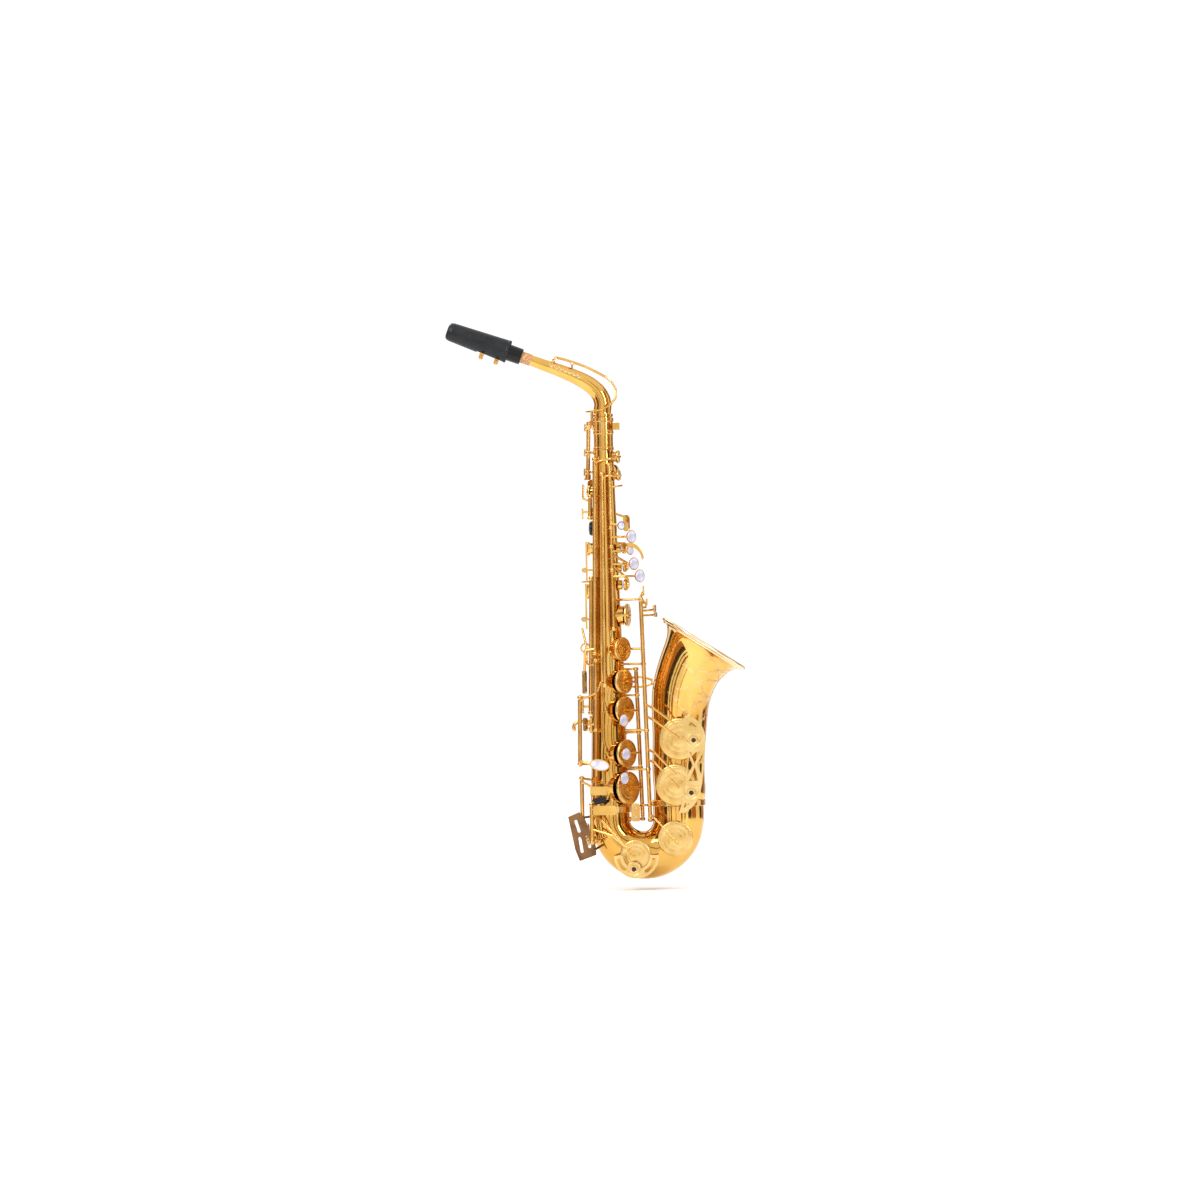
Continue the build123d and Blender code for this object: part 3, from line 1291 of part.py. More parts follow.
def main():
    os.makedirs("parts", exist_ok=True)
    to_ring = Location(Vector(STRAP_RING_CENTRE) * -1)
    for name, shape in make_nodes().items():
        export_step(shape.moved(to_ring), "parts/" + name + ".step")


if __name__ == "__main__":
    main()
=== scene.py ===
import json
import math

import bpy
import numpy as np
from mathutils import Matrix, Vector


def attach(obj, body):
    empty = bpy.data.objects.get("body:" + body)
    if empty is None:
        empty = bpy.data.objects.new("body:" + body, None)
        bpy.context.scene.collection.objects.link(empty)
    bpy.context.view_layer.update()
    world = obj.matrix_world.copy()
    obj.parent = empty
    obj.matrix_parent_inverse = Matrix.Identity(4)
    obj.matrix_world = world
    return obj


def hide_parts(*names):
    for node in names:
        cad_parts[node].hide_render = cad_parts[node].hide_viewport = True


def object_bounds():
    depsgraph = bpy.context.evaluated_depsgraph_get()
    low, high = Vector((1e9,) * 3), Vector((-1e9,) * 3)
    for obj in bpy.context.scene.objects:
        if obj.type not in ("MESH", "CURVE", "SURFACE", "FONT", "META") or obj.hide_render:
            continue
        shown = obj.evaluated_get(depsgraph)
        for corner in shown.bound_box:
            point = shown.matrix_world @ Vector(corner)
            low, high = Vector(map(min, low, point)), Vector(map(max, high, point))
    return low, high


# Looks for the alto saxophone. The CAD frame's origin is the strap ring; a place on the horn is
# written in millimetres with X from the body tube's axis towards the bell and Z from the bow's
# lowest point, and place() turns it into the frame's metres.

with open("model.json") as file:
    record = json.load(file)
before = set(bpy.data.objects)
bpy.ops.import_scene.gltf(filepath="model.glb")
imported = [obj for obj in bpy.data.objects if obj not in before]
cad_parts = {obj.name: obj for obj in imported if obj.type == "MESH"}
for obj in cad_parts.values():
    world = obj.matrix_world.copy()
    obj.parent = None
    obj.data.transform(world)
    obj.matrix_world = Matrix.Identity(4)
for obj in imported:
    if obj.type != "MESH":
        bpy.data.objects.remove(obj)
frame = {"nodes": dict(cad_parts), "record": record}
cad_low, cad_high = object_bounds()
NODES = frame["nodes"]

RING_X = -28.0
RING_Z = 297.0
MM = 0.001
GRAIN_DEPTH = 0.0004
SPUN_DEPTH = 0.0001
SPUN_RING_SCALE = 210
LINE_RADIUS = 0.16 * MM
LEAF_LINE_RADIUS = 0.15 * MM


def place(x, y, z):
    return Vector((x - RING_X, y, z - RING_Z)) * MM


# ------------------------------------------------------------------ materials
def new_material(name):
    material = bpy.data.materials.new(name)
    material.use_nodes = True
    return material, material.node_tree.nodes, material.node_tree.links


def noise(nodes, links, scale, detail=3.0, stretch=(1, 1, 1)):
    coords = nodes.new("ShaderNodeTexCoord")
    mapping = nodes.new("ShaderNodeMapping")
    mapping.inputs["Scale"].default_value = stretch
    texture = nodes.new("ShaderNodeTexNoise")
    texture.inputs["Scale"].default_value = scale
    texture.inputs["Detail"].default_value = detail
    links.new(coords.outputs["Object"], mapping.inputs["Vector"])
    links.new(mapping.outputs["Vector"], texture.inputs["Vector"])
    return texture


def ramp(nodes, links, source, stops):
    node = nodes.new("ShaderNodeValToRGB")
    elements = node.color_ramp.elements
    while len(elements) < len(stops):
        elements.new(0.5)
    for element, (position, colour) in zip(elements, stops):
        element.position = position
        element.color = (*colour, 1)
    links.new(source, node.inputs["Fac"])
    return node


def varied(name, dark, light, rough, metallic=0.0, scale=40.0, coat=0.0, coat_rough=0.05,
           stretch=(1, 1, 1), bump=0.0, bump_scale=600.0, spread=(0.35, 0.65)):
    """Surface whose colour and roughness drift a little from place to place."""
    material, nodes, links = new_material(name)
    shader = nodes["Principled BSDF"]
    shader.inputs["Metallic"].default_value = metallic
    shader.inputs["Coat Weight"].default_value = coat
    shader.inputs["Coat Roughness"].default_value = coat_rough
    texture = noise(nodes, links, scale, stretch=stretch)
    colours = ramp(nodes, links, texture.outputs["Fac"], [(spread[0], dark), (spread[1], light)])
    links.new(colours.outputs["Color"], shader.inputs["Base Color"])
    spots = noise(nodes, links, scale * 2.7)
    grey = ramp(nodes, links, spots.outputs["Fac"], [(0.3, (rough[0],) * 3), (0.7, (rough[1],) * 3)])
    links.new(grey.outputs["Color"], shader.inputs["Roughness"])
    if bump:
        grain = noise(nodes, links, bump_scale, stretch=stretch)
        relief = nodes.new("ShaderNodeBump")
        relief.inputs["Strength"].default_value = bump
        relief.inputs["Distance"].default_value = GRAIN_DEPTH
        links.new(grain.outputs["Fac"], relief.inputs["Height"])
        links.new(relief.outputs["Normal"], shader.inputs["Normal"])
    return material


def spun_metal(name, dark, light, rough):
    """Brass turned on a lathe: fine rings about the piece's own Z axis."""
    material = varied(name, dark, light, rough, metallic=1.0, scale=60)
    nodes, links = material.node_tree.nodes, material.node_tree.links
    shader = nodes["Principled BSDF"]
    coords = nodes.new("ShaderNodeTexCoord")
    rings = nodes.new("ShaderNodeTexWave")
    rings.wave_type = "RINGS"
    rings.rings_direction = "Z"
    rings.inputs["Scale"].default_value = SPUN_RING_SCALE
    rings.inputs["Distortion"].default_value = 0.0
    links.new(coords.outputs["Object"], rings.inputs["Vector"])
    relief = nodes.new("ShaderNodeBump")
    relief.inputs["Strength"].default_value = 0.25
    relief.inputs["Distance"].default_value = SPUN_DEPTH
    links.new(rings.outputs["Fac"], relief.inputs["Height"])
    links.new(relief.outputs["Normal"], shader.inputs["Normal"])
    return material


# Each row: name, darkest and lightest colour, roughness range, metallic, scale of the drift.
GOLD = varied(
    "lacquered_brass", (0.66, 0.34, 0.06), (0.86, 0.53, 0.14), (0.06, 0.12), 1.0, 9, coat=0.15)
FITTINGS = varied(
    "fittings_brass", (0.66, 0.36, 0.08), (0.86, 0.54, 0.17), (0.13, 0.22), 1.0, 30, coat=0.1)
KEY_BRASS = varied(
    "key_brass", (0.68, 0.38, 0.085), (0.88, 0.56, 0.18), (0.12, 0.20), 1.0, 34, coat=0.1)
GUARD_BRASS = varied(
    "guard_brass", (0.72, 0.48, 0.16), (0.86, 0.62, 0.27), (0.24, 0.34), 1.0, 40)
RIM_BRASS = varied(
    "rim_brass", (0.86, 0.66, 0.38), (0.93, 0.77, 0.52), (0.18, 0.28), 1.0, 40)
DARK_BRASS = varied(
    "dark_brass", (0.16, 0.075, 0.03), (0.30, 0.15, 0.06), (0.22, 0.34), 1.0, 50, coat=0.2)
CUP_BRASS = spun_metal("cup_brass", (0.68, 0.42, 0.12), (0.84, 0.57, 0.22), (0.22, 0.32))
LINE_BRASS = varied(
    "line_brass", (0.92, 0.72, 0.40), (0.98, 0.84, 0.58), (0.3, 0.45), 1.0, 200)
STEEL = varied(
    "steel", (0.48, 0.46, 0.43), (0.66, 0.64, 0.60), (0.22, 0.34), 1.0, 90, stretch=(1, 1, 0.1))
PAD = varied(
    "pad_leather", (0.030, 0.020, 0.014), (0.075, 0.046, 0.028), (0.5, 0.7), 0.0, 160, bump=0.3)
BLACK = varied(
    "black_plastic", (0.003, 0.003, 0.004), (0.009, 0.008, 0.008), (0.16, 0.26), 0.0, 80)
EBONITE = varied(
    "ebonite", (0.002, 0.002, 0.003), (0.007, 0.006, 0.006), (0.14, 0.22), 0.0, 70)
CAP = varied(
    "cap_plastic", (0.005, 0.006, 0.007), (0.011, 0.012, 0.014), (0.36, 0.46), 0.0, 120, bump=0.1)
CORK = varied(
    "cork", (0.34, 0.15, 0.055), (0.66, 0.37, 0.16), (0.6, 0.8), 0.0, 700, bump=0.5, spread=(0.4, 0.62))
CANE = varied(
    "cane", (0.70, 0.55, 0.26), (0.86, 0.74, 0.44), (0.4, 0.55), 0.0, 260, stretch=(0.1, 1, 1))
FELT = varied(
    "felt", (0.018, 0.013, 0.011), (0.05, 0.036, 0.028), (0.85, 0.95), 0.0, 900, bump=0.6)
PEARL = varied(
    "pearl", (0.36, 0.36, 0.50), (0.62, 0.60, 0.69), (0.14, 0.24), 0.0, 130, coat=0.25,
    spread=(0.32, 0.6))
for material, level in ((BLACK, 0.3), (EBONITE, 0.3), (CAP, 0.32)):
    shader = material.node_tree.nodes["Principled BSDF"]
    shader.inputs["Specular IOR Level"].default_value = level

MATERIALS = {
    "lacquered_brass": GOLD,
    "fittings_brass": FITTINGS,
    "key_brass": KEY_BRASS,
    "steel": STEEL,
    "black_plastic": BLACK,
    "ebonite": EBONITE,
    "cap_plastic": CAP,
    "cork": CORK,
    "cane": CANE,
    "felt": FELT,
    "pearl": PEARL,
}
SLOT_OF = {row["node"]: row["material_slot"] for row in frame["record"]["subparts"]}
BODY_OF = {
    node: body
    for body, members in frame["record"]["behaviour"]["bodies"].items()
    for node in members
}


# ------------------------------------------------------------------ CAD pieces
def islands(mesh):
    """Face indices and vertex places of each closed shell in a mesh."""
    places = {}
    number = []
    for vertex in mesh.vertices:
        key = tuple(round(c * 1e6) for c in vertex.co)
        number.append(places.setdefault(key, len(places)))
    parent = list(range(len(places)))

    def root(i):
        while parent[i] != i:
            parent[i] = parent[parent[i]]
            i = parent[i]
        return i

    for polygon in mesh.polygons:
        first = root(number[polygon.vertices[0]])
        for v in polygon.vertices[1:]:
            parent[root(number[v])] = first
    groups = {}
    for polygon in mesh.polygons:
        groups.setdefault(root(number[polygon.vertices[0]]), []).append(polygon.index)
    found = []
    for faces in groups.values():
        used = sorted({number[v] for f in faces for v in mesh.polygons[f].vertices})
        spots = {n: mesh.vertices[v].co for v, n in enumerate(number)}
        found.append((faces, np.array([spots[n] for n in used])))
    return sorted(found, key=lambda island: -len(island[0]))


PEARLS_ONLY = ("front_f_key", "high_fs_lever")
SPECIAL = {
    "bell_key_guard": GUARD_BRASS,
    "low_c_guard": GUARD_BRASS,
    "rear_guard": DARK_BRASS,
}
pads = {}
for name, obj in NODES.items():
    obj.data.materials.clear()
    obj.data.materials.append(SPECIAL.get(name, MATERIALS[SLOT_OF[name]]))
    if not name.endswith("_key") or name == "neck_octave_key":
        if name not in PEARLS_ONLY:
            continue
    obj.data.materials.append(PAD)
    obj.data.materials.append(PEARL)
    shells = islands(obj.data)
    metal, others = shells[0], sorted(shells[1:], key=lambda island: -np.ptp(island[1], axis=0).max())
    for order, (faces, spots) in enumerate(others):
        is_pad = name not in PEARLS_ONLY and order == 0
        for face in faces:
            obj.data.polygons[face].material_index = 1 if is_pad else 2
        if is_pad:
            pads[name] = (metal[1], spots)


# ------------------------------------------------------------------ mesh helpers
def add_mesh(name, verts, faces, body, material, slot, matrix=None, smooth=True, sharp=40.0):
    mesh = bpy.data.meshes.new(name)
    mesh.from_pydata([tuple(v) for v in verts], [], faces)
    mesh.validate()
    mesh.materials.append(material)
    obj = bpy.data.objects.new(name, mesh)
    bpy.context.scene.collection.objects.link(obj)
    if smooth:
        mesh.shade_smooth()
        mesh.set_sharp_from_angle(angle=math.radians(sharp))
    if matrix is not None:
        obj.matrix_world = matrix
    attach(obj, body)
    return obj


def axis_matrix(centre, normal):
    turn = Vector(normal).normalized().to_track_quat("Z", "Y").to_matrix().to_4x4()
    return Matrix.Translation(centre) @ turn


def lathe_mesh(profile, sides=72):
    """Closed surface of revolution about Z from (radius, height) points in millimetres."""
    verts, faces, rows = [], [], []
    for radius, height in profile:
        if radius < 1e-6:
            verts.append((0, 0, height * MM))
            rows.append([len(verts) - 1])
            continue
        start = len(verts)
        for i in range(sides):
            a = 2 * math.pi * i / sides
            verts.append((radius * MM * math.cos(a), radius * MM * math.sin(a), height * MM))
        rows.append(list(range(start, start + sides)))
    for low, high in zip(rows, rows[1:]):
        for i in range(sides):
            j = (i + 1) % sides
            if len(low) == 1 and len(high) > 1:
                faces.append((low[0], high[j], high[i]))
            elif len(high) == 1 and len(low) > 1:
                faces.append((low[i], low[j], high[0]))
            elif len(low) > 1:
                faces.append((low[i], low[j], high[j], high[i]))
    return verts, faces


def lathe(name, profile, centre, normal, body, material, slot, sides=72, sharp=40.0):
    verts, faces = lathe_mesh(profile, sides)
    return add_mesh(name, verts, faces, body, material, slot, axis_matrix(centre, normal), sharp=sharp)


def tube_mesh(points, radius, sides=10, taper=None):
    """Round bar along a line of points in metres; taper scales the radius along it."""
    points = [Vector(p) for p in points]
    verts, faces = [], []
    side = None
    for i, p in enumerate(points):
        run = (points[min(i + 1, len(points) - 1)] - points[max(i - 1, 0)]).normalized()
        if side is None:
            side = run.orthogonal().normalized()
        side = (side - run * side.dot(run)).normalized()
        other = run.cross(side)
        size = radius * (taper(i / (len(points) - 1)) if taper else 1.0)
        for k in range(sides):
            a = 2 * math.pi * k / sides
            verts.append(p + (side * math.cos(a) + other * math.sin(a)) * size)
    for i in range(len(points) - 1):
        for k in range(sides):
            j = (k + 1) % sides
            faces.append((i * sides + k, i * sides + j, (i + 1) * sides + j, (i + 1) * sides + k))
    faces.append(tuple(reversed(range(sides))))
    last = (len(points) - 1) * sides
    faces.append(tuple(range(last, last + sides)))
    return verts, faces


def gather(parts):
    """One vertex and face list out of several."""
    verts, faces = [], []
    for v, f in parts:
        base = len(verts)
        verts.extend(v)
        faces.extend([tuple(base + i for i in face) for face in f])
    return verts, faces


# ------------------------------------------------------------------ spun cups over the CAD cups
PAD_SHRINK = 1.1


def pad_axis(metal, spots):
    """Middle, outward direction and radius in millimetres of a pad."""
    centre = (spots.min(0) + spots.max(0)) / 2
    centre = spots.mean(0) if np.linalg.norm(spots.mean(0) - centre) < 1e-3 else centre
    _, _, rows = np.linalg.svd(spots - centre)
    normal = rows[2]
    reach = np.linalg.norm(spots - centre, axis=1).max()
    near = metal[np.linalg.norm(metal - centre, axis=1) < reach * 1.05]
    if ((near - centre) @ normal).mean() < 0:
        normal = -normal
    heights = (spots - centre) @ normal
    centre = centre + normal * (heights.max() + heights.min()) / 2
    flat = (spots - centre) - np.outer((spots - centre) @ normal, normal)
    return Vector(centre), Vector(normal), np.linalg.norm(flat, axis=1).max() / MM


for name, (metal, spots) in pads.items():
    centre, normal, pad_radius = pad_axis(metal, spots)
    r = pad_radius + PAD_SHRINK
    # Heights run from the pad's middle: a rolled skirt, a step, then a shallow spun crown.
    profile = [
        (r - 0.9, -0.35), (r + 0.06, -0.40), (r + 0.14, -0.25), (r + 0.14, 1.45), (r - 0.1, 1.95),
        (r - 0.6, 2.3), (r - 1.5, 2.62), (r * 0.86, 2.72), (r * 0.85, 2.9), (r * 0.82, 2.98),
    ]
    if r > 12:
        profile += [(r * 0.66, 3.0), (r * 0.64, 2.9), (r * 0.62, 3.0), (r * 0.42, 3.08), (r * 0.40, 3.0),
                    (r * 0.38, 3.1)]
    profile += [(r * 0.2, 3.14), (0, 3.16)]
    body = BODY_OF[name]
    lathe(name + "_cup_skin", profile, centre, normal, body, CUP_BRASS, "key_brass", sides=96, sharp=30)

# ------------------------------------------------------------------ pearls, domed smoothly
DOME_RISE_START = 0.9
DOME_STEPS = 8


def pearl_seat(spots):
    """Middle of a pearl's flat seat, the direction it domes in, its radius and height in mm."""
    corners = np.unique(spots.round(7), axis=0)
    _, _, rows = np.linalg.svd(corners - corners.mean(0))
    normal = rows[2]
    heights = spots @ normal
    flat = spots - np.outer(heights, normal)
    out = np.linalg.norm(flat - flat.mean(0), axis=1)
    widest = out > out.max() * 0.98
    # The flat seat is the widest end; the dome points the other way.
    if heights[widest].mean() > heights.mean():
        normal, heights = -normal, -heights
    base = Vector(flat[widest].mean(0)) + Vector(normal) * float(heights.min())
    return base, Vector(normal), out.max() / MM, np.ptp(heights) / MM


for name, obj in NODES.items():
    if not name.endswith("_pearl"):
        continue
    base, normal, radius, tall = pearl_seat(np.array([v.co for v in obj.data.vertices]))
    dome = [(0, 0.02), (radius - 0.02, 0.02), (radius, 0.3)]
    for step in range(DOME_STEPS):
        a = step / DOME_STEPS * math.pi / 2
        dome.append((radius * math.cos(a), DOME_RISE_START + (tall - DOME_RISE_START) * math.sin(a)))
    dome.append((0, tall))
    skin = lathe(name + "_dome", dome, base, normal, BODY_OF[name], PEARL, "pearl", 48)
    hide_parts(name)

# ------------------------------------------------------------------ bell surface
BELL = (
    (87.0, 97.0, 32.5, 0), (88.0, 135.0, 33.2, 1), (89.5, 176.0, 33.8, 2), (90.5, 205.0, 35.3, 5),
    (93.3, 236.5, 37.6, 15), (99.8, 257.5, 39.4, 24), (107.2, 274.0, 41.6, 30), (115.4, 287.5, 46.0, 32.4),
    (120.2, 295.0, 52.0, 32.9), (122.3, 298.3, 57.0, 32.9), (123.3, 299.8, 60.6, 32.9),
)


def bell_spot(u, phi, lift=0.0):
    """Point on the bell's skin: u counts sections, phi in degrees is -90 on the right side."""
    i = min(int(u), len(BELL) - 2)
    t = u - i
    x, z, r, tilt = [a + (b - a) * t for a, b in zip(BELL[i], BELL[i + 1])]
    lean = math.radians(tilt)
    across = Vector((math.cos(lean), 0, -math.sin(lean)))
    a = math.radians(phi)
    p = Vector((x, 0, z)) + (across * math.cos(a) + Vector((0, 1, 0)) * math.sin(a)) * (r + lift)
    return place(*p)


RIM_TILT = math.radians(32.9)
RIM_NORMAL = Vector((math.sin(RIM_TILT), 0, math.cos(RIM_TILT)))
RIM_CENTRE = place(123.3, 0, 299.8)
rim_profile = []
for step in range(25):
    a = math.radians(-150 + 300 * step / 24)
    rim_profile.append((59.3 + 2.55 * math.cos(a), 2.45 * math.sin(a)))
rim_profile = [(57.9, -4.4), (59.1, -2.6)] + rim_profile + [(56.4, 0.6)]
lathe("bell_rim_roll", rim_profile, RIM_CENTRE, RIM_NORMAL, "horn", RIM_BRASS, "lacquered_brass", 160, 60)


# ------------------------------------------------------------------ floral engraving
BELL_SECTION_GAP = 22.0
BELL_MEAN_RADIUS = 38.0
BELL_LINE_LIFT = 0.03
NECK_SECTION_GAP = 14.5
NECK_LINE_LIFT = 0.1


def tendril(spot, u0, v0, heading, length, curl, steps=26):
    """Scroll on a surface: spot(u, v) gives places, u and v in millimetres along the skin."""
    points = []
    u, v, angle = u0, v0, math.radians(heading)
    for step in range(steps):
        points.append(spot(u, v))
        angle += math.radians(curl) * (0.4 + 1.6 * step / steps)
        u += math.cos(angle) * length / steps
        v += math.sin(angle) * length / steps
    return tube_mesh(points, LINE_RADIUS, 5, taper=lambda t: 1.15 - 0.8 * t)


def leaf(spot, u0, v0, heading, length, width):
    """Leaf outline with a midrib."""
    parts = []
    a = math.radians(heading)
    for side in (-1, 0, 1):
        points = []
        for step in range(13):
            t = step / 12
            along = length * t
            off = side * width * math.sin(math.pi * t) * (1 - 0.35 * t)
            points.append(spot(u0 + math.cos(a) * along - math.sin(a) * off,
                               v0 + math.sin(a) * along + math.cos(a) * off))
        parts.append(tube_mesh(points, LEAF_LINE_RADIUS, 5, taper=lambda t: 1.1 - 0.6 * t))
    return gather(parts)


def flower(spot, u0, v0, size):
    parts = []
    for petal in range(6):
        parts.append(leaf(spot, u0, v0, petal * 60 + 15, size, size * 0.28))
    return gather(parts)


def spray(spot, flip=1):
    """Generic sprig: a flower between two scrolls with leaves."""
    parts = [flower(spot, 0, 0, 7.5)]
    for turn in (1, -1):
        parts.append(tendril(spot, 4 * turn, 3, 90 - 55 * turn, 32, 4.4 * turn * flip))
        parts.append(tendril(spot, 4 * turn, -3, -90 + 50 * turn, 30, -4.6 * turn * flip))
        parts.append(tendril(spot, 9 * turn, 8, 90 - 20 * turn, 20, -7.5 * turn * flip))
        for k in range(4):
            parts.append(leaf(spot, (9 + 4.5 * k) * turn, 7 + 3 * k, 90 - (30 + 22 * k) * turn, 7.5, 1.6))
            parts.append(leaf(spot, (8 + 4 * k) * turn, -8 - 3 * k, -90 + (30 + 20 * k) * turn, 7.0, 1.5))
    return gather(parts)


def bell_patch(section_mid, phi_mid):
    """Places on the bell about a middle: u runs round it and v along it, in millimetres."""
    def spot(u, v):
        section = section_mid + v / BELL_SECTION_GAP
        return bell_spot(section, phi_mid + math.degrees(u / BELL_MEAN_RADIUS), BELL_LINE_LIFT)
    return spot


NECK = (
    (-12.0, 630.5, 10.3), (-24.0, 638.8, 9.7), (-38.0, 645.9, 8.9), (-51.5, 651.6, 8.3), (-65.0, 656.75, 7.7),
    (-78.0, 661.66, 7.2),
)


def neck_patch(mid, angle_mid):
    """Place on the neck's side: u climbs round it, v runs along it towards the mouthpiece."""
    def spot(u, v):
        at = min(max(mid + v / NECK_SECTION_GAP, 0), len(NECK) - 1.001)
        i = int(at)
        x, z, r = [a + (b - a) * (at - i) for a, b in zip(NECK[i], NECK[i + 1])]
        run = Vector((NECK[i + 1][0] - NECK[i][0], 0, NECK[i + 1][1] - NECK[i][1])).normalized()
        over = Vector((run.z, 0, -run.x))
        a = math.radians(angle_mid) + u / r
        out = Vector((0, -1, 0)) * math.cos(a) + over * math.sin(a)
        return place(*(Vector((x, 0, z)) + out * (r + NECK_LINE_LIFT)))
    return spot


def side_branch(spot):
    """Wavy stem with pairs of leaves along it, for long narrow places."""
    stem = [spot(1.6 * math.sin(step / 24 * 6.0), -22 + 44 * step / 24) for step in range(25)]
    parts = [tube_mesh(stem, LINE_RADIUS, 5)]
    for k in range(7):
        v = -19 + 6.2 * k
        parts.append(leaf(spot, 0.6, v, 90 - 38, 5.6, 1.2))
        parts.append(leaf(spot, -0.6, v + 2, 90 + 218, 5.6, 1.2))
    return gather(parts)


engraving = gather([
    spray(bell_patch(5.0, -62)), spray(bell_patch(3.6, -14), -1), spray(bell_patch(5.4, 34)),
    spray(bell_patch(3.2, -78), -1), spray(bell_patch(6.6, -38)), spray(bell_patch(6.4, 8), -1),
])
add_mesh("bell_engraving", *engraving, "horn", LINE_BRASS, "lacquered_brass")
branch = side_branch(neck_patch(2.7, 4))
add_mesh("neck_engraving", *branch, BODY_OF["neck_tube"], LINE_BRASS, "lacquered_brass")

# ------------------------------------------------------------------ bosses of the guards
# X and Z of each boss, and a ring that closes over its felt and leaves a small dark middle.
BOSSES = ((107.1, 177.8), (103.0, 111.0), (28.3, 15.0))
BOSS_REACH = 0.008
BOSS_RING = (
    (3.0, -2.0), (3.0, 0.5), (3.3, 0.8), (4.2, 0.9), (5.0, 0.8), (5.4, 0.3), (5.9, 0.2), (7.2, 0.3),
    (7.8, 0.9), (8.6, 1.0), (9.1, 0.7), (9.2, 0.1), (9.2, -2.0),
)
FRONT = (0, -1, 0)
felts = np.array([v.co for v in NODES["guard_bumpers"].data.vertices])
for number, (x, z) in enumerate(BOSSES):
    spot = place(x, 0, z)
    mine = felts[np.hypot(felts[:, 0] - spot.x, felts[:, 2] - spot.z) < BOSS_REACH]
    spot.y = mine[:, 1].min()
    name = "boss_ring_%d" % number
    lathe(name, BOSS_RING, spot, FRONT, "horn", GUARD_BRASS, "fittings_brass", 64)

# ------------------------------------------------------------------ small fittings on the body
PLATE_THICK = 1.6
EASED_EDGE = 0.35 * MM


def flat_piece(name, outline, y):
    """Plate cut from an outline in the XZ plane, its front face at y, with eased edges."""
    count = len(outline)
    verts = [place(x, y, z) for x, z in outline]
    verts += [place(x, y + PLATE_THICK, z) for x, z in outline]
    faces = [tuple(range(count)), tuple(reversed(range(count, 2 * count)))]
    for i in range(count):
        j = (i + 1) % count
        faces.append((i, i + count, j + count, j))
    obj = add_mesh(name, verts, faces, "horn", FITTINGS, "fittings_brass", smooth=False)
    bevel = obj.modifiers.new("eased", "BEVEL")
    bevel.width = EASED_EDGE
    bevel.segments = 2
    bevel.limit_method = "ANGLE"


def screw(name, x, y, z):
    """Domed screw head that faces the front."""
    profile = [(0, -0.5), (1.7, -0.5), (1.7, 0.5), (1.7 * 0.7, 0.9), (0, 1.0)]
    lathe(name, profile, place(x, y, z), FRONT, "horn", STEEL, "steel", 24)


def arc(middle, size, start, sweep, steps=16):
    """Points of an elliptical arc in the XZ plane; angles in degrees."""
    points = []
    for step in range(steps + 1):
        a = math.radians(start + sweep * step / steps)
        points.append((middle[0] + size[0] * math.cos(a), middle[1] + size[1] * math.sin(a)))
    return points


# The crescent that shields the upper stack's touches, on a foot from the body.
crescent = arc((30.5, 409.0), (18.5, 21.5), 100, -95) + arc((30.5, 406.0), (15.8, 19.0), 5, 95)
flat_piece("stack_crescent", crescent, -23.0)
foot = tube_mesh([place(28, -21.6, 428), place(22, -18, 430), place(13, -14, 431)], 1.4 * MM, 12)
add_mesh("stack_crescent_foot", *foot, "horn", FITTINGS, "fittings_brass")

# Plate in the gap above the bow, held by two screws.
TIE_Y = -18.0
tie = [
    (27.5, 74.5), (36.5, 74.5), (37.5, 76.0), (37.5, 96.0),
    (36.5, 97.5), (27.5, 97.5), (26.5, 96.0), (26.5, 76.0),
]
flat_piece("bow_tie_plate", tie, TIE_Y)
for number, z in enumerate((80.0, 92.0)):
    screw("bow_tie_screw_%d" % number, 32.0, TIE_Y - 0.1, z)

# ------------------------------------------------------------------ stage, light and camera
def plain(name, colour):
    return varied(name, [c * 0.99 for c in colour], colour, (0.6, 0.63), 0.0, 1.5)


FLOOR_DROP = 0.012
floor_z = cad_low.z - FLOOR_DROP
bpy.ops.mesh.primitive_circle_add(vertices=96, radius=40, fill_type="NGON", location=(0, 0, floor_z))
floor = bpy.context.object
floor.name = "floor"
floor.data.materials.append(plain("floor_white", (0.93, 0.93, 0.93)))


CARD_DISTANCE = 1.5
CARD_HEIGHT = 2.6
CARD_MIDDLE_Z = 0.1


def dark_card(name, azimuth, width, colour):
    """Brown or near-black card beside the set that only mirrors in the brass."""
    a = math.radians(azimuth)
    spot = (CARD_DISTANCE * math.sin(a), -CARD_DISTANCE * math.cos(a), CARD_MIDDLE_Z)
    bpy.ops.mesh.primitive_plane_add(size=1, location=spot)
    card = bpy.context.object
    card.name = name
    card.scale = (width, CARD_HEIGHT, 1)
    card.rotation_euler = (math.pi / 2, 0, a)
    card.data.materials.append(plain(name + "_paint", colour))
    card.visible_camera = False
    card.visible_diffuse = False
    card.visible_shadow = False


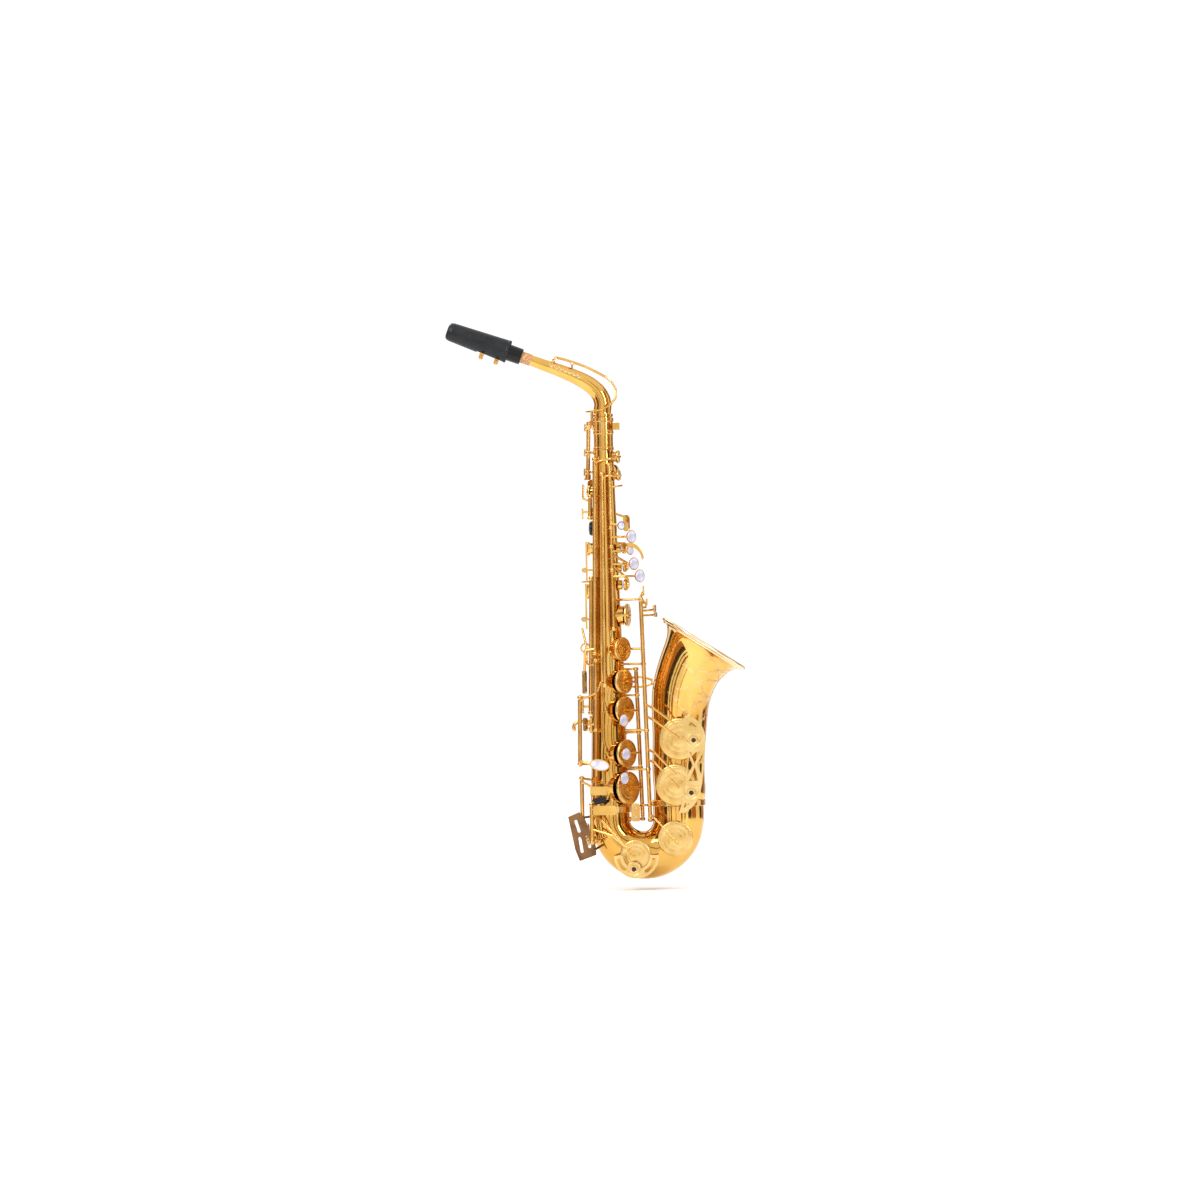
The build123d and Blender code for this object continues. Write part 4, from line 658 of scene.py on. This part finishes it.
# Cards round the horn: azimuth from the camera's side, width in metres, and colour.
BROWN = (0.34, 0.13, 0.035)
RUST = (0.20, 0.062, 0.014)
UMBER = (0.022, 0.009, 0.004)
CARDS = (
    (-58, 0.44, UMBER), (-76, 0.50, BROWN), (-112, 0.50, BROWN), (-132, 0.45, UMBER), (-165, 0.45, BROWN),
    (18, 0.16, RUST), (32, 0.12, UMBER), (54, 0.40, UMBER), (74, 0.60, BROWN), (116, 0.45, UMBER),
    (136, 0.50, BROWN), (164, 0.35, UMBER), (-30, 0.16, RUST), (-41, 0.10, UMBER), (-8, 0.06, RUST),
)
for number, (azimuth, width, colour) in enumerate(CARDS):
    dark_card("card_%d" % number, azimuth, width, colour)


LIGHT_AIM = Vector((0.02, 0, 0.06))


def soft_light(name, azimuth, elevation, distance, size, energy):
    """Soft area light aimed at the horn; azimuth from the camera's side."""
    data = bpy.data.lights.new(name, "AREA")
    data.shape = "RECTANGLE"
    data.size, data.size_y = size
    data.energy = energy
    light = bpy.data.objects.new(name, data)
    a, e = math.radians(azimuth), math.radians(elevation)
    towards = Vector((math.sin(a) * math.cos(e), -math.cos(a) * math.cos(e), math.sin(e)))
    light.location = LIGHT_AIM + towards * distance
    light.rotation_euler = (LIGHT_AIM - light.location).to_track_quat("-Z", "Y").to_euler()
    bpy.context.scene.collection.objects.link(light)


soft_light("key_light", -38, 38, 2.6, (0.5, 1.2), 30)
soft_light("fill_light", 40, 20, 2.8, (0.3, 1.4), 16)
soft_light("rear_light", 200, 40, 2.8, (0.8, 1.2), 22)

world = bpy.data.worlds.new("studio")
world.use_nodes = True
world.node_tree.nodes["Background"].inputs["Color"].default_value = (1, 1, 1, 1)
world.node_tree.nodes["Background"].inputs["Strength"].default_value = 1.1
bpy.context.scene.world = world
bpy.context.scene.view_settings.view_transform = "Standard"

VIEW_HEIGHT = 1.536
CAMERA_DISTANCE = 8.0
SENSOR = 36.0
ROLL = math.radians(1.1)
middle = (cad_low + cad_high) / 2
camera_data = bpy.data.cameras.new("camera")
camera_data.sensor_width = SENSOR
camera_data.lens = SENSOR * CAMERA_DISTANCE / VIEW_HEIGHT
camera_data.clip_end = 200
camera = bpy.data.objects.new("camera", camera_data)
camera.location = (middle.x + 0.004, -CAMERA_DISTANCE, middle.z)
camera.rotation_euler = (math.pi / 2, ROLL, 0)
bpy.context.scene.collection.objects.link(camera)
bpy.context.scene.camera = camera
